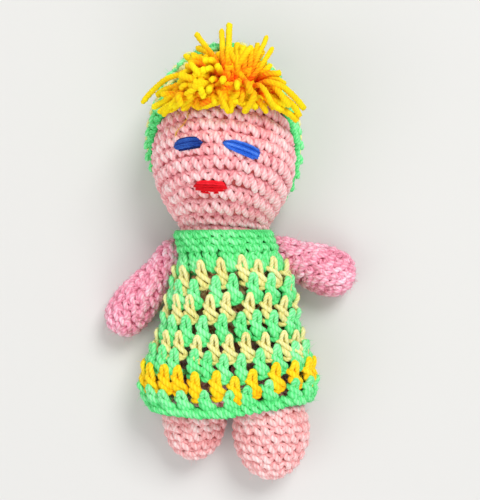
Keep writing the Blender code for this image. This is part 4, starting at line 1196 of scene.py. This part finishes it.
# strands traced in the photograph, root first: (px, py, height in mm)
TRACED = (
    ((232, 88, 68), (229.5, 62, 73), (228.5, 45, 62), (228.5, 34, 53), (228.4, 24, 45)),
    ((227, 87, 68), (223, 62, 73), (221.5, 48, 66), (221, 38, 58), (220.3, 29, 50)),
    ((225, 82, 68), (215, 59, 71), (206.5, 47, 66), (201.5, 40, 60), (197.8, 34, 54)),
    ((224, 80, 68), (216, 60, 70), (208, 52, 68), (202, 49, 64), (197, 46.5, 60)),
    ((238, 90, 69), (237.5, 66, 75), (237, 53, 68), (236.6, 43, 60)),
    ((242, 88, 69), (244.5, 64, 74), (245, 54, 69), (244, 48, 64)),
    ((245, 86, 69), (250, 65, 73), (251, 56, 70), (251.3, 51, 66)),
    ((247, 86, 69), (255, 64, 74), (260, 52, 68), (264, 44, 62), (266.4, 36, 57)),
    ((247, 84, 69), (253, 61, 71), (256.5, 51, 66), (258.7, 44, 61)),
    ((251, 84, 69), (260, 68, 74), (266, 58, 71), (270, 52, 68), (271.6, 48, 66)),
    ((256, 78, 68), (263, 72, 73), (268, 68, 74), (270.8, 64.5, 72)),
    ((256, 79, 68), (265, 75, 74), (274, 74, 74), (280.5, 72.8, 72)),
    ((257, 81, 68), (268, 78, 73), (276, 79.5, 72), (281.5, 81.6, 70)),
    ((255, 83, 69), (266, 82, 77), (276, 84, 77), (284, 88, 74), (292, 95, 70), (299, 103, 66),
     (303.5, 109, 62)),
    ((260, 81, 68), (270, 84, 75), (278, 91, 76), (283, 98, 74), (289, 106, 70)),
    ((263, 85, 67), (278, 94, 71), (288, 101, 70), (295, 108, 66), (298.6, 116.5, 62)),
    ((262, 89, 67), (274, 102, 69), (282, 109, 68), (290, 114, 64), (296.5, 119.5, 60)),
    ((250, 84, 69), (258, 85, 79), (263, 89, 81), (267, 96, 80), (270, 102, 77), (271.6, 106, 75)),
    ((249, 89, 69), (257, 98, 74), (263, 106, 74), (267.5, 113, 72)),
    ((244, 77, 69), (247.5, 83, 82), (249.5, 88, 83), (250.8, 92, 81)),
    ((247, 87, 69), (253, 93, 80), (252, 99, 81), (248, 106, 79), (243, 112.5, 76)),
    ((242, 84, 69), (243, 92, 79), (242, 98, 80), (241, 102, 78)),
    ((236, 79, 69), (237.5, 84, 84), (237.8, 90, 86)),
    ((215, 86, 69), (219, 91, 81), (223, 100, 82), (226, 107, 80), (228, 112, 77)),
    ((226, 87, 69), (230, 98, 77), (231.5, 106, 77), (229.5, 112, 75)),
    ((233, 88, 69), (235, 99, 76), (235, 106, 75)),
    ((210, 88, 70), (213, 96, 77), (214.5, 104, 79)),
    ((197, 88, 69), (197, 98, 77), (197.6, 105, 77), (198, 110, 75)),
    ((206, 84, 70), (204, 92, 82), (202, 98, 85)),
    ((214, 82, 70), (211, 86, 82), (209, 91, 87)),
    ((216, 78, 70), (214, 79, 82), (212, 81, 88)),
    ((224, 78, 70), (223, 79, 83), (222, 81, 88)),
    ((208, 76, 69), (202, 79, 82), (199, 84, 86)),
    ((208, 74, 69), (199, 74, 80), (195, 75.5, 84)),
    ((212, 72, 69), (205, 70, 82), (201.5, 70.5, 87)),
    ((216, 73, 69), (211, 68, 82), (207, 68, 87)),
    ((216, 70, 69), (207, 62, 80), (203, 59.5, 85)),
    ((220, 70, 69), (213, 61, 80), (208.5, 60, 84)),
    ((224, 76, 69), (220, 70, 80), (216.4, 64.5, 83)),
    ((210, 70, 68), (198, 64, 75), (188, 63.5, 76)),
    ((208, 68, 68), (198, 59, 73), (191, 58, 74)),
    ((202, 74, 69), (188, 72, 74), (178, 75, 72), (168, 78, 68), (160, 84, 63), (152, 92, 58),
     (143, 103.5, 53)),
    ((200, 80, 69), (184, 83, 72), (172, 87, 68), (162, 90.5, 63), (156, 95, 59)),
    ((198, 86, 69), (184, 91, 74), (174, 95, 71), (164, 101, 66), (153, 107, 60)),
    ((196, 88, 69), (184, 94, 76), (176, 101, 73), (167, 107, 68), (158.5, 113, 64)),
    ((192, 90, 69), (180, 98, 75), (172, 106, 73), (166, 111, 70), (163.5, 116, 68)),
    ((196, 92, 69), (184, 98, 77), (178, 104, 77), (173, 108, 75)),
    ((192, 90, 69), (180, 96, 80), (180.5, 102, 81), (181.5, 106, 79)),
    ((200, 88, 69), (193, 91, 80), (190, 94, 82), (190.5, 99, 80)),
    ((206, 78, 69), (194, 70, 74), (186, 72, 75), (181, 78, 74)),
    ((206, 82, 69), (192, 80, 76), (184, 80, 77), (178, 83, 75)),
    ((204, 84, 69), (190, 84, 79), (184, 86, 80), (181, 89, 78)),
)

# regions of strands, in pixels and mm: of roots, of tips, how far the middle rises, and how many
REGIONS = (
    # the left cluster, whose cut ends face the camera
    (((194, 214), (74, 92), (67, 69)), ((178, 208), (62, 98), (74, 83)), (0, 3), 26),
    (((190, 206), (80, 94), (66, 69)), ((160, 186), (92, 113), (64, 74)), (1, 4), 20),
    # the fringe over the forehead
    (((200, 258), (78, 92), (66, 68)), ((176, 268), (98, 110), (70, 75)), (1, 4), 46),
    # the right side and the fan over the bonnet
    (((250, 262), (80, 92), (66, 68)), ((268, 290), (82, 112), (62, 72)), (1, 4), 22),
    (((220, 256), (82, 94), (66, 68)), ((216, 266), (44, 66), (62, 72)), (1, 4), 46),
    (((206, 228), (78, 90), (66, 68)), ((184, 214), (54, 68), (62, 71)), (1, 3), 22),
    # the knots along the parting
    (((206, 260), (78, 88), (67, 69)), ((206, 260), (84, 98), (70, 73)), (0.5, 2), 34),
)
# a single fibre that has come down over the forehead, in pixels
STRAY = ((187.0, 109.0), (188.0, 115.0), (184.5, 123.0), (178.0, 130.0), (175.0, 137.0))


def loose(roots, tips, rises):
    """A strand between a root and a tip taken at random in two regions."""
    root = [chance.uniform(*r) for r in roots]
    tip = [chance.uniform(*t) for t in tips]
    mid = [(a + b) / 2 + chance.normal(0, 1.5) for a, b in zip(root, tip)]
    mid[2] = max(root[2], tip[2]) + chance.uniform(*rises)
    return root, mid, tip


def strand_path(strand):
    """A strand's lock, path, share along it at each point, and length."""
    place = from_photo(*np.array(strand, float).T)
    lock = LOCKS[int(np.searchsorted(LOCK_EDGES, place[0, 0]))]
    # the root is sunk in the bonnet's surface
    from_center = place[0] - HEAD_CENTER
    out = unit(from_center / BONNET_AXES**2)
    above = np.linalg.norm(from_center / BONNET_AXES) - 1.0
    place[0] -= out * max(0.0, above * ROOT_SCALE + ROOT_SINK)
    smooth = catmull(place[None], 90)[0]
    run = run_along(smooth)
    length = run[-1]
    want = np.linspace(0, length, max(14, int(length / STRAND_STEP)))
    path = points_at(want, run, smooth)
    share = want / length
    path += np.cumsum(chance.normal(0, STRAND_DRIFT, path.shape), axis=0) * share[:, None]
    return lock, (path, share, length)


def add_strand(yarn, path, share, length):
    """Thinner at its root, uneven, with a cut end, and brighter towards the tip: painted shade at the root,
    painted light towards the tip.
    """
    r = np.full(len(path), STRAND_RADIUS) * (1 + 0.08 * chance.normal())
    r *= 1 - ROOT_THIN * (1 - share) ** 2
    r *= 1 + 0.05 * np.sin(share * length * 1.9 + chance.uniform(0, 6)) + chance.normal(0, 0.02, len(path))
    r[-3:] *= chance.choice([0.82, 0.95, 1.05]) * np.array([1.04, 1.02, 0.9])
    # painted shade at the root that gives way to painted light along the strand
    bright = np.clip(np.maximum(share**1.25, share * length / SHADE_RUN), 0, 1) ** 0.9
    shade = ROOT_SHADE + TIP_SHADE * bright + chance.normal(0, 0.3)
    yarn.add(path[None], (0.3, 0, 1), r[None], 12, lobe=0.15, lay=5.2, ends=0.5, deep=shade[None],
             floor=False)


strands = list(TRACED)
for roots, tips, rises, number in REGIONS:
    strands += [loose(roots, tips, rises) for _ in range(number)]
locks = {name: [] for name in LOCKS}
for strand in strands:
    lock, facts = strand_path(strand)
    locks[lock].append(facts)
for name, paths in locks.items():
    yarn = Yarn()
    if name == "hair_far_right":
        stray = catmull(on_face(*np.array(STRAY).T, 1.6)[None], 40)
        # its high depth mark makes it lighter: painted highlight
        yarn.add(stray, (0, 0, 1), 0.16, 6, lobe=0.0, deep=1.0)
    for facts in paths:
        add_strand(yarn, *facts)
    yarn.fuzz(1000, 0.8, 2.2, 0.055)
    yarn.piece(name + "_strands", MATERIALS["hair"], "head", [name], "yarn_gold")

# Cloth facts

GIRTH_DROP = 55
width = float(dress.around(DRESS_TOP - GIRTH_DROP))

# Stage, in metres

FLOOR_REACH = 3
FLOOR_COLOUR = (0.68, 0.675, 0.66, 1)
BACKDROP_COLOUR = (0.93, 0.93, 0.92, 1)
WORLD_STRENGTH = 0.54
TARGET = (0, 0.03, 0.02)
SENSOR = 36.0

corners = [(FLOOR_REACH * x, FLOOR_REACH * y, 0) for x, y in ((-1, -1), (1, -1), (1, 1), (-1, 1))]
mesh = bpy.data.meshes.new("floor")
mesh.from_pydata(corners, [], [(0, 1, 2, 3)])
mesh.materials.append(bpy.data.materials.new("floor_pale"))
tree = Tree(mesh.materials[0])
pale = {"Base Color": FLOOR_COLOUR, "Roughness": 0.9, "Specular IOR Level": 0.1}
tree.fill(tree.nodes["Principled BSDF"], pale)
floor = add_object("floor", mesh)

world = bpy.data.worlds.new("studio")
bpy.context.scene.world = world
tree = Tree(world)
soft = tree.nodes["Background"]
tree.fill(soft, {0: (1, 1, 1, 1), 1: WORLD_STRENGTH})
pale = tree.add("Background", {0: BACKDROP_COLOUR, 1: 1.0})
seen = tree.add("LightPath").outputs["Is Camera Ray"]
mixed = tree.add("MixShader", {0: seen, 1: soft.outputs[0], 2: pale.outputs[0]})
tree.fill(tree.nodes["World Output"], {"Surface": mixed.outputs[0]})


def area_light(name, place, size, power):
    data = bpy.data.lights.new(name, "AREA")
    data.shape = "SQUARE"
    data.size = size
    data.energy = power
    lamp = add_object(name, data)
    lamp.location = place
    lamp.rotation_euler = (Vector(TARGET) - Vector(place)).to_track_quat("-Z", "Y").to_euler()


area_light("key", (1.1, 1.85, 2.6), 1.4, 70.0)
area_light("low", (0.6, -2.1, 1.85), 2.0, 20.0)
area_light("fill", (-2.0, -0.75, 2.25), 2.2, 23.0)

camera = bpy.data.cameras.new("camera")
camera.lens = SENSOR * CAMERA[2] / FRAME_MM
camera.sensor_width = SENSOR
camera.clip_start = 0.01
eye = add_object("camera", camera)
eye.location = tuple(CAMERA * MM)
bpy.context.scene.camera = eye
bpy.context.scene.view_settings.view_transform = "Standard"
